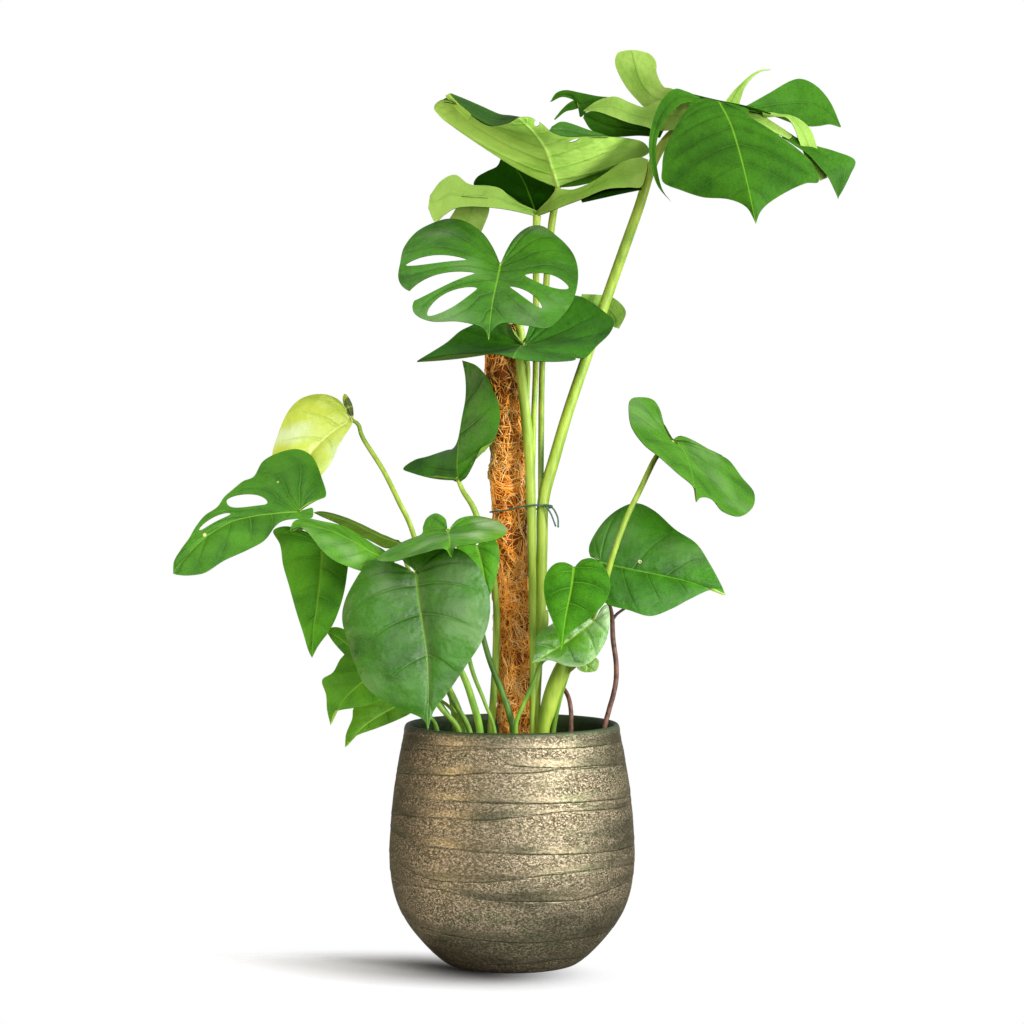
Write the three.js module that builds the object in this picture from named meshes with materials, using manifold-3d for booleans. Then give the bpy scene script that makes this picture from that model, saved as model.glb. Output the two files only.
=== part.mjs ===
// A swiss cheese plant (monstera) with its coir pole, growing in a round stoneware pot.
// Millimetres, +Z up. The origin is the middle of the pot's foot, on the surface it stands on.
// The plant's front faces -Y.
import * as THREE from "three";
import { mergeVertices } from "three/addons/utils/BufferGeometryUtils.js";
import Module from "manifold-3d";

const wasm = await Module();
wasm.setup();

// Room left between neighbouring solids.
const ROOM = 0.35;

// Pot
const POT_HEIGHT = 260;
const POT_FOOT_RADIUS = 74;
const POT_RIM_RADIUS = 117;
const POT_WALL = 8;
const POT_FLOOR = 12;
const POT_SIDES = 32;
// The outside from the foot to the rim, as [radius, height].
const POT_OUTSIDE = [
  [80, 4], [87, 10], [103, 27], [116, 44], [127, 66], [132.5, 88], [135, 118],
  [132.8, 160], [129.3, 192], [123.5, 227], [118, 252],
];

// Soil
const SOIL_TOP = 228;
const SOIL_LUMP = 3;
const SOIL_RINGS = [0.88, 0.66, 0.44, 0.22, 0];
const HOLE_DEPTH = 26;

// Pole
const POLE_TOP = 698;
const POLE_RADIUS = 20;
const POLE_LUMP = 1.4;
const POLE_TURN = 62;
const POLE_FOOT = [10.2, 0, 110];
const POLE_LENGTH = POLE_TOP - POLE_FOOT[2];
const POLE_LEAN = -14 / 416;
const CORE_RADIUS = 8;
const CORE_BELOW = 40;
const CORE_ABOVE = 4;
const CORE_SIDES = 12;
const COIR_SIDES = 16;
const COIR_LAYERS = 18;

// Leaves and stems
const BLADE = 1.2;
const BLADE_COLUMNS = 3;
const RIB_CROWDING = 1.1;
const ROW_BOW = 0.06;
const TIP_ROUNDING = 0.08;
const OPEN_SHARE = 0.84;
const STALK_SIDES = 6;
const TIE_RADIUS = 1.1;
const TIE_SIDES = 6;
const TIE_STEPS = 18;

// The block cut off a stalk where it meets its blade
const TRIM_DEPTH = 14;
const TRIM_RADIUS = 9;

// The plant's leaves and stems are drawn as they look from the front, from an eye EYE_DISTANCE in
// front of the pole at the height EYE_HEIGHT. Each point is [across, down, depth]: across and down
// are pixels of a square picture of 2 * PICTURE_MIDDLE pixels whose lens is PICTURE_LENS pixels
// long, and depth is in millimetres, growing to the back from the plane through the pole.
const EYE_DISTANCE = 2409;
const EYE_HEIGHT = 492;
const PICTURE_LENS = 2190;
const PICTURE_MIDDLE = 512;

// A blade has a rib from its stalk to its tip, and a right and a left margin, each from the notch
// at the stalk round the lobe towards the tip. "lie" is the slope of its plane, as depth for each
// millimetre across and up, and the depths of its margins count from that plane. With no "lie"
// each point gives its own depth. "ribs" is the number of the last margin points whose rows start
// on the rib, and the rows of the others fan out from the stalk. "cuts" are [point, width, from,
// to, lean]: a slit that meets the margin at that point, as wide as so many points' spacing,
// between two shares of the way from the rib to the margin. Past 1 it is open at the margin.
// "flaps" are lobes between an edge a and an edge b that fold away from the blade.
const BLADES = {
  crown_right: {
    up: [0.1, -0.75, 0.65],
    arch: 0.05,
    ribs: 9,
    rib: [[719, 101, -15], [730, 122, -45], [739, 150, -72], [748, 186, -100], [756, 224, -122]],
    left: [
      [705, 98, -10], [690, 99, -12], [689, 106, -18], [681, 118, -30], [671, 135, -45],
      [664, 152, -58], [662, 168, -67], [663, 182, -75], [681, 190, -84], [703, 197, -92],
      [728, 199, -100], [746, 207, -110],
    ],
    right: [
      [735, 104, -8], [748, 109, -10], [750, 118, -22], [765, 130, -34], [782, 138, -42],
      [798, 149, -52], [812, 163, -62], [819, 181, -74], [806, 183, -80], [788, 191, -90],
      [769, 203, -102], [760, 213, -112],
    ],
    flaps: [
      {
        a: [
          [700, 97, -9], [686, 91, -9], [674, 89, -10], [661, 101, -18], [653, 120, -30],
          [649, 140, -44], [650, 160, -56], [657, 184, -70], [671, 201, -80],
        ],
        b: [
          [700, 103, -14], [694, 102, -15], [681, 104, -19], [667, 117, -28], [659, 133, -39],
          [656, 150, -50], [657, 167, -60], [662, 188, -72], [671, 201, -80],
        ],
      },
      {
        a: [[690, 94, -9], [704, 97.5, -10], [719, 101, -15], [748, 107, -9], [771, 114, -5]],
        b: [[690, 106, 10], [704, 110, 14], [718, 111, 14], [742, 112, 12], [766, 119, 6]],
      },
      {
        a: [
          [746, 106, -6], [769, 93, 14], [790, 81, 32], [803, 79, 38], [818, 87, 38],
          [831, 103, 32], [841, 126, 22],
        ],
        b: [
          [750, 111, -2], [774, 116, 2], [796, 124, 8], [810, 126, 12], [820, 125.5, 15],
          [830, 124, 18], [841, 127, 22],
        ],
      },
      {
        back: true,
        a: [
          [762, 111, -4], [778, 114.5, 0], [790, 116, 0], [801, 121, -3], [811, 131, -8],
          [817, 148, -16], [827, 178, -26],
        ],
        b: [
          [764, 117, 2], [780, 117.5, -6], [787, 119, -8], [794, 128, -12], [799, 142, -18],
          [808, 163, -24], [820, 181, -28],
        ],
      },
      {
        back: true,
        a: [[748, 112, 8], [762, 116, 4], [775, 124, 0], [793, 136, -8]],
        b: [[748, 119, 2], [755, 124, -4], [768, 130, -8], [789, 140, -14]],
      },
      {
        a: [
          [784, 130, -6], [800, 139, -12], [816, 145.5, -14], [835, 151, -10], [855, 160, -8],
          [850, 176, -18], [839, 198, -30],
        ],
        b: [
          [782, 137, -10], [795, 145, -22], [808, 154, -30], [820, 167, -36], [829, 178, -38],
          [834, 188, -35], [839, 199, -31],
        ],
      },
      {
        back: true,
        a: [
          [722, 106, 6], [733, 92, 14], [741, 84, 20], [750, 76, 26], [760, 70.5, 30],
          [770, 69.5, 32],
        ],
        b: [
          [738, 110, 6], [742, 95, 10], [746, 86, 18], [753, 77.5, 25], [761, 72, 29.5],
          [770, 70.5, 32],
        ],
      },
      {
        back: true,
        a: [
          [676, 108, 6], [650, 110, 10], [636, 99, 18], [624, 84, 24], [615.5, 66, 28],
          [617, 54, 30], [626, 51, 31],
        ],
        b: [
          [690, 99, 0], [673, 89, 0], [664, 87, 6], [657, 74, 14], [656, 62, 22], [649, 54, 27],
          [636, 50.5, 30],
        ],
      },
      {
        back: true,
        a: [
          [694, 98, 0], [660, 101, 4], [645, 107.5, 8], [630, 103, 12], [615, 97, 16],
          [598, 101, 18], [584, 111, 18],
        ],
        b: [
          [694, 128, -4], [660, 131, -4], [645, 127, -4], [628, 123, 0], [612, 117, 5],
          [597, 112, 12], [584, 112, 17],
        ],
      },
      {
        a: [
          [664, 130, -5], [645, 126, -3], [628, 122, 1], [612, 116, 6], [596, 111, 12],
          [584, 113, 17],
        ],
        b: [
          [660, 138, 12], [640, 136, 15], [620, 137, 17], [604, 136.5, 18], [591, 130, 18],
          [583, 118, 18],
        ],
      },
      {
        a: [
          [612, 97, 18], [598, 96, 22], [580, 92.5, 26], [566, 90, 30], [556, 93, 32],
          [550, 102, 34],
        ],
        b: [
          [600, 103, 16], [589, 108, 20], [580, 117, 24], [577, 103, 28], [563, 97, 31],
          [551, 102, 34],
        ],
      },
      {
        a: [[580, 98, 27], [570, 102, 30], [562, 109, 32], [554, 119, 33]],
        b: [[579, 108, 27], [572, 110, 29], [565, 112, 32], [555, 120, 33]],
      },
    ],
  },
  crown_left: {
    up: [0.1, 0.6, 0.8],
    arch: -0.03,
    ribs: 10,
    rib: [[558, 187, 30], [552, 168, -5], [545, 148, -45], [534, 132, -85], [518, 117, -125]],
    left: [
      [556, 185, 32], [546, 177, 30], [533, 174, 26], [520, 164, 15], [509, 153, 0],
      [492, 144, -15], [473, 136.5, -30], [454, 126, -42], [440, 116, -52], [434, 107, -60],
      [441, 100, -72], [452, 101, -85], [466, 111, -92], [480, 120, -98], [492, 125, -105],
      [507, 123, -115],
    ],
    right: [
      [560, 185, 32], [575, 180, 34], [600, 171, 38], [622, 163, 38], [640, 157, 34],
      [649, 151, 25], [643, 142, 5], [627, 138, -12], [606, 136, -30], [585, 136, -48],
      [565, 136, -65], [551, 131, -85], [541, 122, -100], [530, 117, -115],
    ],
    cutsRight: [[9.2, 0.3, 2 / 3, 0.92, 0], [12.3, 0.5, 0.45, 1.05, 0.3]],
    flaps: [
      {
        a: [
          [441, 101, -70], [455, 104, -84], [470, 114, -92], [488, 125, -102], [507, 123, -114],
          [519, 117, -124],
        ],
        b: [
          [451, 93, -48], [466, 99, -58], [482, 106, -68], [499, 113.5, -80], [510, 115, -95],
          [520, 116.5, -118],
        ],
      },
      {
        a: [[548, 132, -83], [565, 137, -64], [585, 137, -47], [608, 137, -30]],
        b: [[552, 126, -60], [564, 121.5, -45], [590, 130, -30], [609, 136, -22]],
      },
      {
        a: [[559, 183, 30], [580, 176, 30], [600, 169, 30], [624, 161, 32]],
        b: [[560, 187, 24], [578, 185, 12], [596, 180, 8], [616, 168, 16]],
      },
      {
        back: true,
        a: [[446, 96, -62], [454, 105, -78], [462, 114, -90], [470, 119.5, -97]],
        b: [[450, 93.5, -70], [459, 103, -92], [467, 109.5, -102], [472, 114, -106]],
      },
    ],
  },
  crown_low: {
    up: [0, -0.8, 0.6],
    arch: 0.03,
    ribs: 5,
    rib: [[537, 216, 12], [531, 199, 40], [522, 178, 75], [505, 153, 110]],
    left: [
      [535, 213, 10], [528, 207, 14], [512, 199, 24], [500, 189, 36], [487, 186, 44],
      [474, 185, 52], [477, 177, 62], [487, 171, 76], [497, 166, 88], [501, 158, 100],
    ],
    right: [
      [539, 214, 12], [547, 205, 28], [555, 193, 54], [556, 186, 66], [548, 176, 80],
      [536, 166, 92], [521, 157, 104],
    ],
    flaps: [
      {
        back: true,
        a: [
          [536.5, 211.5, 16], [512, 200, 6], [500, 189, 2], [484, 187, 0], [468, 184, -3],
          [455, 175, -6], [441, 181, -12], [430, 196, -16],
        ],
        b: [
          [537.5, 217, 12.5], [512, 211, -6], [491, 208, -13], [470, 207, -18], [455, 209, -21],
          [445, 215, -23], [435, 222, -24], [428, 208, -21],
        ],
      },
      {
        back: true,
        a: [
          [537.5, 211.5, 16], [549, 200, 8], [558, 190, 6], [574, 190, 2], [595, 181, -4],
          [622, 163, -10], [640, 158, -16], [648, 160, -22],
        ],
        b: [
          [536.5, 217, 12.5], [550, 212, -6], [565, 206, -14], [584, 199, -22], [606, 190, -28],
          [628, 188, -34], [642, 187, -38], [648, 170, -34],
        ],
      },
      {
        a: [[580, 198, -12], [606, 187, -10], [625, 185, -16], [641, 186, -30]],
        b: [[582, 202, -34], [600, 198, -40], [620, 193.5, -42], [642, 189, -40]],
      },
      {
        back: true,
        a: [[462, 196, -14], [456, 208, 2], [448, 221, 14]],
        b: [[488, 198, -9], [489, 212, 4], [481, 233, 14]],
      },
    ],
  },
  split_front: {
    lie: [0.05, 1.2],
    up: [0, -0.77, 0.64],
    arch: 0.05,
    ribs: 10,
    rib: [[500.5, 264.5, -70], [498, 277], [492.5, 303], [488.5, 339]],
    right: [
      [501.5, 261], [507, 249], [514, 238], [524, 229], [535, 225], [545, 227], [556, 235],
      [566, 244], [574, 255], [578, 269], [577.5, 285], [573, 300], [563, 315], [547.5, 327.5],
      [525, 325], [503, 322.5], [492, 330],
    ],
    left: [
      [499, 261], [493, 248], [483, 233], [465, 221], [448, 218.5], [432, 223], [416, 232],
      [404, 247], [400, 263], [398, 280], [404, 300], [415, 314], [432, 321], [457, 321],
      [477, 325], [485, 330],
    ],
    cutsRight: [[10.42, 1.05, 1 / 3, 0.905, 0.2], [12.62, 0.55, 0.19, 0.74, 1.0]],
    cutsLeft: [
      [8.23, 0.72, 1 / 3, 0.94, 0.78], [9.98, 0.93, 0.24, 1.05, 0.85],
      [11.6, 1.25, 0.24, 0.94, 0.8],
    ],
  },
  split_low: {
    up: [0, -0.3, 0.95],
    arch: -0.03,
    ribs: 9,
    rib: [[524, 345, -40], [521, 346, -90], [517, 350, -140], [513, 357.5, -190]],
    left: [
      [522.5, 343, -38], [515, 336, -37], [509, 325, -33], [498, 317, -28], [484, 318, -27],
      [472, 325, -30], [460, 331, -38], [447, 342, -54], [433, 351, -74], [417, 361, -98],
      [430, 357.5, -112], [453, 354, -138], [478, 352.5, -163], [498, 354, -180],
    ],
    right: [
      [525.5, 343, -36], [528, 333, -20], [533, 320, 2], [548, 305, 26], [565, 296, 38],
      [580, 296, 38], [594, 303, 28], [606, 312, 10], [615.5, 320, -8], [612, 332, -26],
      [601, 344, -50], [588, 358, -78], [576, 353, -95], [577, 359, -115], [558, 361, -142],
      [533, 360.5, -170],
    ],
    cutsRight: [[11.9, 0.5, 0.55, 1.05, 0.6]],
    flaps: [
      {
        back: true,
        a: [[578, 302, 36], [592, 312, 58], [604, 321, 60], [615, 328, 46]],
        b: [[582, 294, 40], [600, 295, 64], [615, 299, 64], [626, 312, 54], [619, 329, 46]],
      },
    ],
  },
  pole_side: {
    up: [0.3, -0.9, 0.2],
    arch: 0.05,
    ribs: 8,
    rib: [
      [458, 479, -22], [456.5, 466, -30], [458, 441, -34], [461, 420, -32], [465, 398, -30],
      [465, 378, -28], [462, 360.5, -30],
    ],
    right: [
      [460, 482, -24], [466, 477, -32], [473, 464, -40], [480, 449, -46], [493, 441, -52],
      [499, 425, -54], [499, 405, -52], [493, 390, -46], [486, 376, -40], [477, 366, -34],
      [468, 362, -31],
    ],
    left: [
      [456, 482, -16], [449, 479, 0], [431, 473, 24], [417, 474, 40], [403, 469, 56],
      [414, 460, 60], [428, 456, 52], [446, 450, 36], [461, 446, 28], [468, 425, 18],
      [474, 400, 8], [467, 367, -20],
    ],
  },
  pale: {
    lie: [-0.1, 0.5],
    up: [0, -1, 0.4],
    arch: 0.12,
    ribs: 6,
    rib: [[352, 420, -12], [335, 430], [315, 448], [290, 482]],
    left: [
      [350, 416], [345, 407], [338, 399], [325, 394], [310, 395], [297, 401], [287, 413],
      [279, 431], [272, 455], [276, 474],
    ],
    right: [
      [350, 416, 3], [344, 406, 5], [342.5, 398, 6], [345, 393.5, 6], [350, 399, 5], [353.5, 409, 2],
      [352.5, 423], [343.5, 438], [336, 452], [329, 466], [311, 484],
    ],
  },
  left_split: {
    lie: [0.2, 1.0],
    up: [0, -0.7, 0.7],
    arch: 0.06,
    ribs: 9,
    rib: [[299, 511.5, -105], [277, 513], [250, 516.5], [226, 524], [199, 543], [173, 573]],
    right: [
      [303, 509], [313, 501], [326, 496], [322, 478], [313, 457], [298, 449], [280, 452],
      [263, 461], [254, 476], [243, 481], [233, 489], [224, 497], [217, 507], [205, 515],
      [196, 526], [189, 538], [181, 549], [174, 561],
    ],
    left: [
      [304, 510], [312, 507.5], [313.5, 513], [311, 518], [297, 518.5], [284, 520.5], [275, 527],
      [265, 540], [247, 550], [225, 560], [206, 572], [190, 575], [178, 574.5],
    ],
    cutsRight: [[11.25, 2.0, 1 / 3, 0.93, 0.75], [14.6, 1.6, 0.44, 0.86, 2.4]],
  },
  left_hanging: {
    lie: [-0.1, 0.2],
    up: [0, -1, 0.4],
    arch: 0.08,
    ribs: 6,
    rib: [[322, 545, -62], [320.5, 570], [317, 605], [313, 630], [312, 658]],
    right: [
      [325, 541], [334, 540], [343, 547], [348, 560], [347, 575], [344, 593], [338, 613],
      [330, 630], [319, 645],
    ],
    left: [
      [319, 541], [305, 531], [286, 526], [273, 531], [280, 545], [283, 565], [289, 586],
      [296, 611], [303, 633], [308, 650],
    ],
  },
  left_inner: {
    up: [0, -0.75, 0.66],
    arch: 0.05,
    ribs: 6,
    rib: [[392, 560, -98], [374, 553, -118], [352, 540, -138], [322, 528, -150], [290, 530, -165]],
    left: [
      [390, 555, -92], [383, 549, -98], [374, 544, -104], [357, 533, -112], [341, 525, -118],
      [323, 521, -128], [306, 518, -140], [294, 521, -155],
    ],
    right: [
      [389, 565, -104], [378, 569, -120], [366, 572, -136], [350, 567, -155], [334, 560, -168],
      [321, 549, -175], [312, 537, -175], [301, 527, -170],
    ],
  },
  left_narrow: {
    up: [0, -0.4, 0.9],
    arch: 0.05,
    ribs: 5,
    rib: [[400, 543, -88], [380, 536, -78], [355, 524, -72], [330, 515, -75], [314, 512, -84]],
    left: [
      [399, 540, -82], [389, 537.5, -64], [370, 529, -50], [352, 519.5, -46], [333, 513, -55],
      [321, 511, -70],
    ],
    right: [
      [398, 546, -95], [386, 548, -102], [372, 541, -104], [355, 532, -104], [338, 523, -100],
      [322, 516, -92],
    ],
  },
  big_heart: {
    lie: [0.0, 0.28],
    up: [0, -1, 0.4],
    arch: 0.1,
    ribs: 7,
    rib: [[416, 573, -144], [418, 597], [422, 622], [427, 655], [428.5, 690], [428, 730]],
    right: [
      [412, 568, 1], [403, 561, 4], [401, 554, 5], [415, 549, 5], [438, 546.5, 3], [460, 549.5],
      [475, 562], [484, 577], [490, 598], [489, 621], [481, 643], [466, 666], [449, 691],
      [434, 711],
    ],
    left: [
      [413, 571], [407, 569.5], [398, 564.5], [387, 560.5], [375, 559.5], [365, 566], [355, 580],
      [345, 600], [342, 619], [347, 640], [356, 667], [367, 688], [390, 705], [421, 718],
    ],
  },
  over_heart: {
    up: [0, -0.5, 0.85],
    arch: 0.05,
    ribs: 6,
    rib: [[448, 531, -128], [449, 536, -165], [450, 544, -205], [451, 556.5, -240]],
    right: [
      [450, 528, -122], [458, 519, -100], [472, 515.5, -90], [488, 517.5, -98], [500, 522, -118],
      [507, 530.5, -143], [498, 538.5, -170], [478, 542.5, -196], [462, 545, -216],
      [454, 547.5, -230],
    ],
    left: [
      [447, 528, -120], [445.5, 518.5, -100], [436, 513, -91], [427, 517.5, -95], [423, 526, -105],
      [421, 534, -114], [405, 540.5, -130], [390, 548, -150], [377, 559, -175], [393, 561, -198],
      [413, 555.5, -213], [437, 549, -226], [446, 549.5, -234],
    ],
  },
  behind_heart: {
    lie: [0.0, 0.3],
    up: [0, -1, 0.4],
    arch: 0.1,
    ribs: 4,
    rib: [[477, 546, -52], [481, 560], [485, 578], [488, 600]],
    right: [
      [479, 543], [488, 537], [496, 541], [499.5, 552], [498.5, 567], [495, 582], [491, 593],
    ],
    left: [[475, 542], [466, 538], [457, 545], [457, 560], [465, 577], [478, 592]],
  },
  base_upper: {
    lie: [0.1, 0.5],
    up: [0, -1, 0.4],
    arch: 0.08,
    ribs: 4,
    rib: [[383, 670, -80], [360, 684], [342, 702], [330.5, 725]],
    left: [
      [380, 664], [368, 652], [352, 650], [341, 658], [333, 672], [322, 680], [326, 695],
      [327, 710],
    ],
    right: [[386, 674], [392, 685], [386, 697], [372, 704], [353, 708], [336, 712]],
  },
  base_low: {
    lie: [0.1, 0.6],
    up: [0, -1, 0.4],
    arch: 0.06,
    ribs: 4,
    rib: [[410, 700, -55], [385, 712], [363, 727], [345, 747]],
    left: [[406, 696], [393, 694], [375, 699], [355, 706], [352, 719], [346, 734]],
    right: [[412, 704], [412, 712], [397, 720], [377, 728], [356, 736]],
  },
  base_small: {
    lie: [0.0, 0.5],
    up: [0, -1, 0.4],
    arch: 0.06,
    ribs: 3,
    rib: [[370, 660, -62], [350, 646], [338, 637], [326, 631]],
    left: [[368, 655], [360, 640], [344, 629], [333, 627]],
    right: [[369, 665], [358, 667], [345, 655], [334, 643]],
  },
  right_upper: {
    lie: [1.7, 1.9],
    up: [-0.68, -0.26, 0.68],
    arch: 0.05,
    ribs: 7,
    rib: [[673, 441, -30], [684, 450], [692, 472], [696.5, 502]],
    left: [
      [671.5, 437], [665, 426], [660, 409], [653, 399.5], [642, 397], [631, 399], [629, 410],
      [632, 427], [644, 444], [660, 457], [678, 473], [694, 487],
    ],
    right: [
      [675, 439], [683, 436], [697, 442], [714, 452], [729, 460], [742, 477], [754, 492],
      [753, 507], [740, 516], [723, 511], [712, 499], [702, 497],
    ],
  },
  right_broad: {
    lie: [-0.1, 0.5],
    up: [0, -1, 0.4],
    arch: 0.08,
    ribs: 6,
    rib: [[600, 562, -20], [625, 568], [655, 574], [690, 582], [725.5, 595]],
    left: [
      [597, 559], [590, 556], [590, 543], [603, 522], [620, 508], [637, 503], [655, 511],
      [675, 529], [696, 543], [709, 562], [721, 584],
    ],
    right: [
      [597, 565], [592, 575], [596, 592], [607, 604], [628, 610], [650, 616], [671, 609],
      [690, 599], [711, 590],
    ],
  },
  centre_heart: {
    lie: [0.1, 0.3],
    up: [0, -1, 0.4],
    arch: 0.1,
    ribs: 5,
    rib: [[574, 568, -100], [571, 590], [566, 615], [561.5, 650]],
    right: [
      [576, 565], [582, 559.5], [592, 558], [602, 564], [609, 576], [610, 590], [604, 604],
      [588, 620], [569, 634],
    ],
    left: [
      [572, 565], [564, 562], [554, 564], [546, 574], [543.5, 588], [546, 604], [551, 618],
      [557, 633],
    ],
  },
  centre_glossy: {
    lie: [0.1, 0.4],
    up: [0, -1, 0.4],
    arch: 0.08,
    ribs: 5,
    rib: [[594, 621, -76], [572, 638], [552, 651], [532, 663]],
    left: [[590, 617], [580, 612], [565, 616], [550, 625], [539, 633], [535, 642], [534.5, 654]],
    right: [
      [597, 615], [602, 607], [608, 605], [610, 618], [608.5, 632], [604, 645], [594.5, 658.5],
      [583, 666], [567, 666], [550, 660.5],
    ],
  },
  centre_small: {
    lie: [0.1, 0.4],
    up: [0, -1, 0.4],
    arch: 0.06,
    ribs: 2,
    rib: [[578, 656, -58], [585, 664], [592, 672]],
    left: [[575, 658], [577, 668], [584, 672]],
    right: [[581, 653], [592, 655], [599, 661], [597, 670]],
  },
};

// Leaf stalks that stand in the soil by themselves, from the blade down: the route and the radii
// along it. Each is named like its blade.
const STALKS = {
  pole_side: {
    route: [
      [458, 479, -17], [463, 491, -19], [472, 505, -24], [478, 520, -26], [490, 560, -30],
      [496, 600, -33], [496, 650, -33], [494, 690, -32], [491, 733, -30],
    ],
    radii: [3.2, 3.5, 4, 4],
  },
  pale: {
    route: [
      [352, 420, -9], [358.5, 425, -1], [363.5, 439, -6], [383, 470, -24], [399, 502, -40],
      [413, 533, -45], [430, 600, -50], [448, 680, -48], [456, 733, -44],
    ],
    radii: [2.6, 2.8, 3, 3.2],
  },
  left_split: {
    route: [
      [299, 511.5, -104], [308, 520, -86], [335, 537, -50], [365, 562, -32], [405, 620, -30],
      [449, 690, -34], [464, 733, -34],
    ],
    radii: [3.4, 4, 4],
  },
  left_hanging: {
    route: [
      [322, 545, -61], [331, 549, -46], [350, 559, -26], [368, 574, -14], [396, 620, -8],
      [438, 700, -8], [458, 733, -8],
    ],
    radii: [2.8, 3, 3],
  },
  left_inner: {
    route: [[392, 560, -96], [396, 580, -84], [412, 640, -76], [436, 700, -70], [460, 733, -62]],
    radii: [2.8, 3, 3],
  },
  left_narrow: {
    route: [[400, 543, -86], [406, 562, -66], [424, 620, -62], [448, 690, -60], [470, 733, -56]],
    radii: [2.6, 3, 3],
  },
  big_heart: {
    route: [
      [416, 573, -143], [423, 600, -118], [444, 640, -98], [463, 675, -88], [473, 703, -82],
      [480, 733, -76],
    ],
    radii: [3.2, 3.8, 4.3],
  },
  over_heart: {
    route: [
      [448, 531, -127], [452, 552, -96], [460, 610, -76], [471, 666, -66], [485, 703, -60],
      [495, 733, -60],
    ],
    radii: [2.8, 2, 1.8],
  },
  behind_heart: {
    route: [
      [477, 546, -50], [475, 562, -40], [478, 610, -46], [488, 655, -50], [505, 700, -50],
      [513.5, 733, -50],
    ],
    radii: [2.6, 3.4, 3.8],
  },
  base_upper: {
    route: [[383, 670, -79], [392, 680, -66], [415, 700, -56], [430, 716, -60], [438, 733, -62]],
    radii: [1.8, 1.8, 1.8],
  },
  base_low: {
    route: [[410, 700, -54], [426, 697, -51], [443, 702, -52], [455, 714, -52], [464, 733, -50]],
    radii: [1.8, 1.8, 1.8],
  },
  base_small: {
    route: [[370, 660, -61], [380, 668, -44], [410, 690, -20], [430, 715, -12], [436, 733, -10]],
    radii: [1.8, 1.8, 1.8],
  },
  right_broad: {
    route: [[600, 562, -19], [597, 590, -4], [580, 640, 4], [562, 690, 14], [553, 733, 16]],
    radii: [2.6, 3, 3],
  },
  centre_heart: {
    route: [
      [574, 568, -99], [575, 590, -66], [574, 620, -42], [562, 660, -16], [552, 700, -8],
      [544, 733, -6],
    ],
    radii: [2.6, 3, 3],
  },
  centre_glossy: {
    route: [
      [594, 621, -75], [592, 634, -62], [576, 650, -59], [556, 655, -59], [542, 662, -59],
      [534.5, 680, -60], [525, 701, -60], [517, 720, -60], [515.5, 733, -60],
    ],
    radii: [2, 2.4, 2.6],
  },
};

// The thick sheathed stalk at the right, with the bud that carries the small centre leaf.
const SHEATHED_STALK = {
  blade: "right_upper",
  route: [
    [673, 441, -29], [664, 449.5, -30], [655, 459, -38], [640, 490, -52], [627, 517, -61],
    [614, 552, -66], [605, 582, -64], [592, 616, -52], [577, 643, -44], [562.5, 668, -42],
    [553, 692, -40], [548, 710, -40], [543.5, 733, -40],
  ],
  radii: [2.4, 2.6, 3, 3, 3, 3.2, 3.6, 5, 8.4, 9.4, 9, 6.5, 5.2],
};
const SMALL_LEAF_STALK = {
  blade: "centre_small",
  route: [[578, 656, -57], [577, 664, -52], [566, 674, -43]],
  radii: [1.5, 1.8],
};

// The climbing stem beside the pole: its own stalks, and the nodes that they spring from.
const CLIMBING_STEM = [
  {
    blade: "crown_right",
    route: [
      [703, 112, 16], [688, 122, 22], [668, 138, 20], [653, 163, 17], [639, 207, 22],
      [623, 252, 30], [605, 303, 34], [586.5, 357, 16], [568, 412, -8], [554.5, 458, -22],
      [543.5, 500, -28], [542, 545, -29], [541, 600, -29], [538, 655, -30], [536, 700, -30],
      [536, 733, -30],
    ],
    radii: [4.5, 5, 5.5, 5.8, 6, 6, 6.5, 6, 5.5, 5, 4.5],
    steps: 22,
    rooted: true,
  },
  {
    blade: "crown_left",
    route: [
      [558, 187, 31], [556, 200, 35], [552, 222, 34], [548, 260, 40], [545, 305, 44],
      [542, 370, 20], [541, 450, -8], [541, 530, -22], [542, 580, -28],
    ],
    radii: [3.2, 4.2, 3.5, 3.2, 3],
    steps: 12,
  },
  {
    blade: "crown_low",
    route: [
      [537, 216, 13], [536.5, 226, 12], [536, 260, 16], [536, 310, 24], [535.5, 370, -4],
      [534, 410, -18], [533, 450, -26], [532, 480, -31],
    ],
    radii: [4.6, 3.6, 3, 3],
    steps: 10,
  },
  {
    blade: "split_front",
    route: [
      [500.5, 264.5, -68], [504, 280, -46], [514, 308, -29], [521, 335, -26], [520, 360, -27],
      [524, 400, -28], [529, 450, -31], [531, 500, -33], [532, 550, -34], [533, 640, -34],
      [533, 733, -34],
    ],
    radii: [3, 4, 5, 6, 5, 4, 3.6],
    steps: 18,
    rooted: true,
  },
  {
    blade: "split_low",
    route: [[524, 345, -39], [526, 356, -30], [528, 370, -26], [527, 400, -28]],
    radii: [2.8, 2.6],
    steps: 5,
  },
  { route: [[545, 610, -29], [544, 624, -30], [540, 640, -30]], radii: [3.5, 5, 3.5], steps: 4 },
];

// Aerial roots that reach the soil
const ROOTS = {
  root_long: {
    route: [
      [604, 588, 14], [609, 604, 8], [612, 618, 6], [613, 639, 5], [616, 662, 4], [616, 680, 3],
      [613, 696, 2], [609, 710, 1], [604, 733, 0],
    ],
    radii: [2.2, 2.8, 2.8, 2.8],
    twig: [[612.5, 620, 6], [617, 614, 8], [626, 607.5, 11]],
  },
  root_short: {
    route: [[561.5, 687, 28], [565, 690.5, 25], [568.8, 698.5, 15], [571, 712, 7], [571, 733, 6]],
    radii: [2.4, 2.5, 2.6],
  },
};

const TWIG_RADII = [1.8, 1.5];

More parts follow.
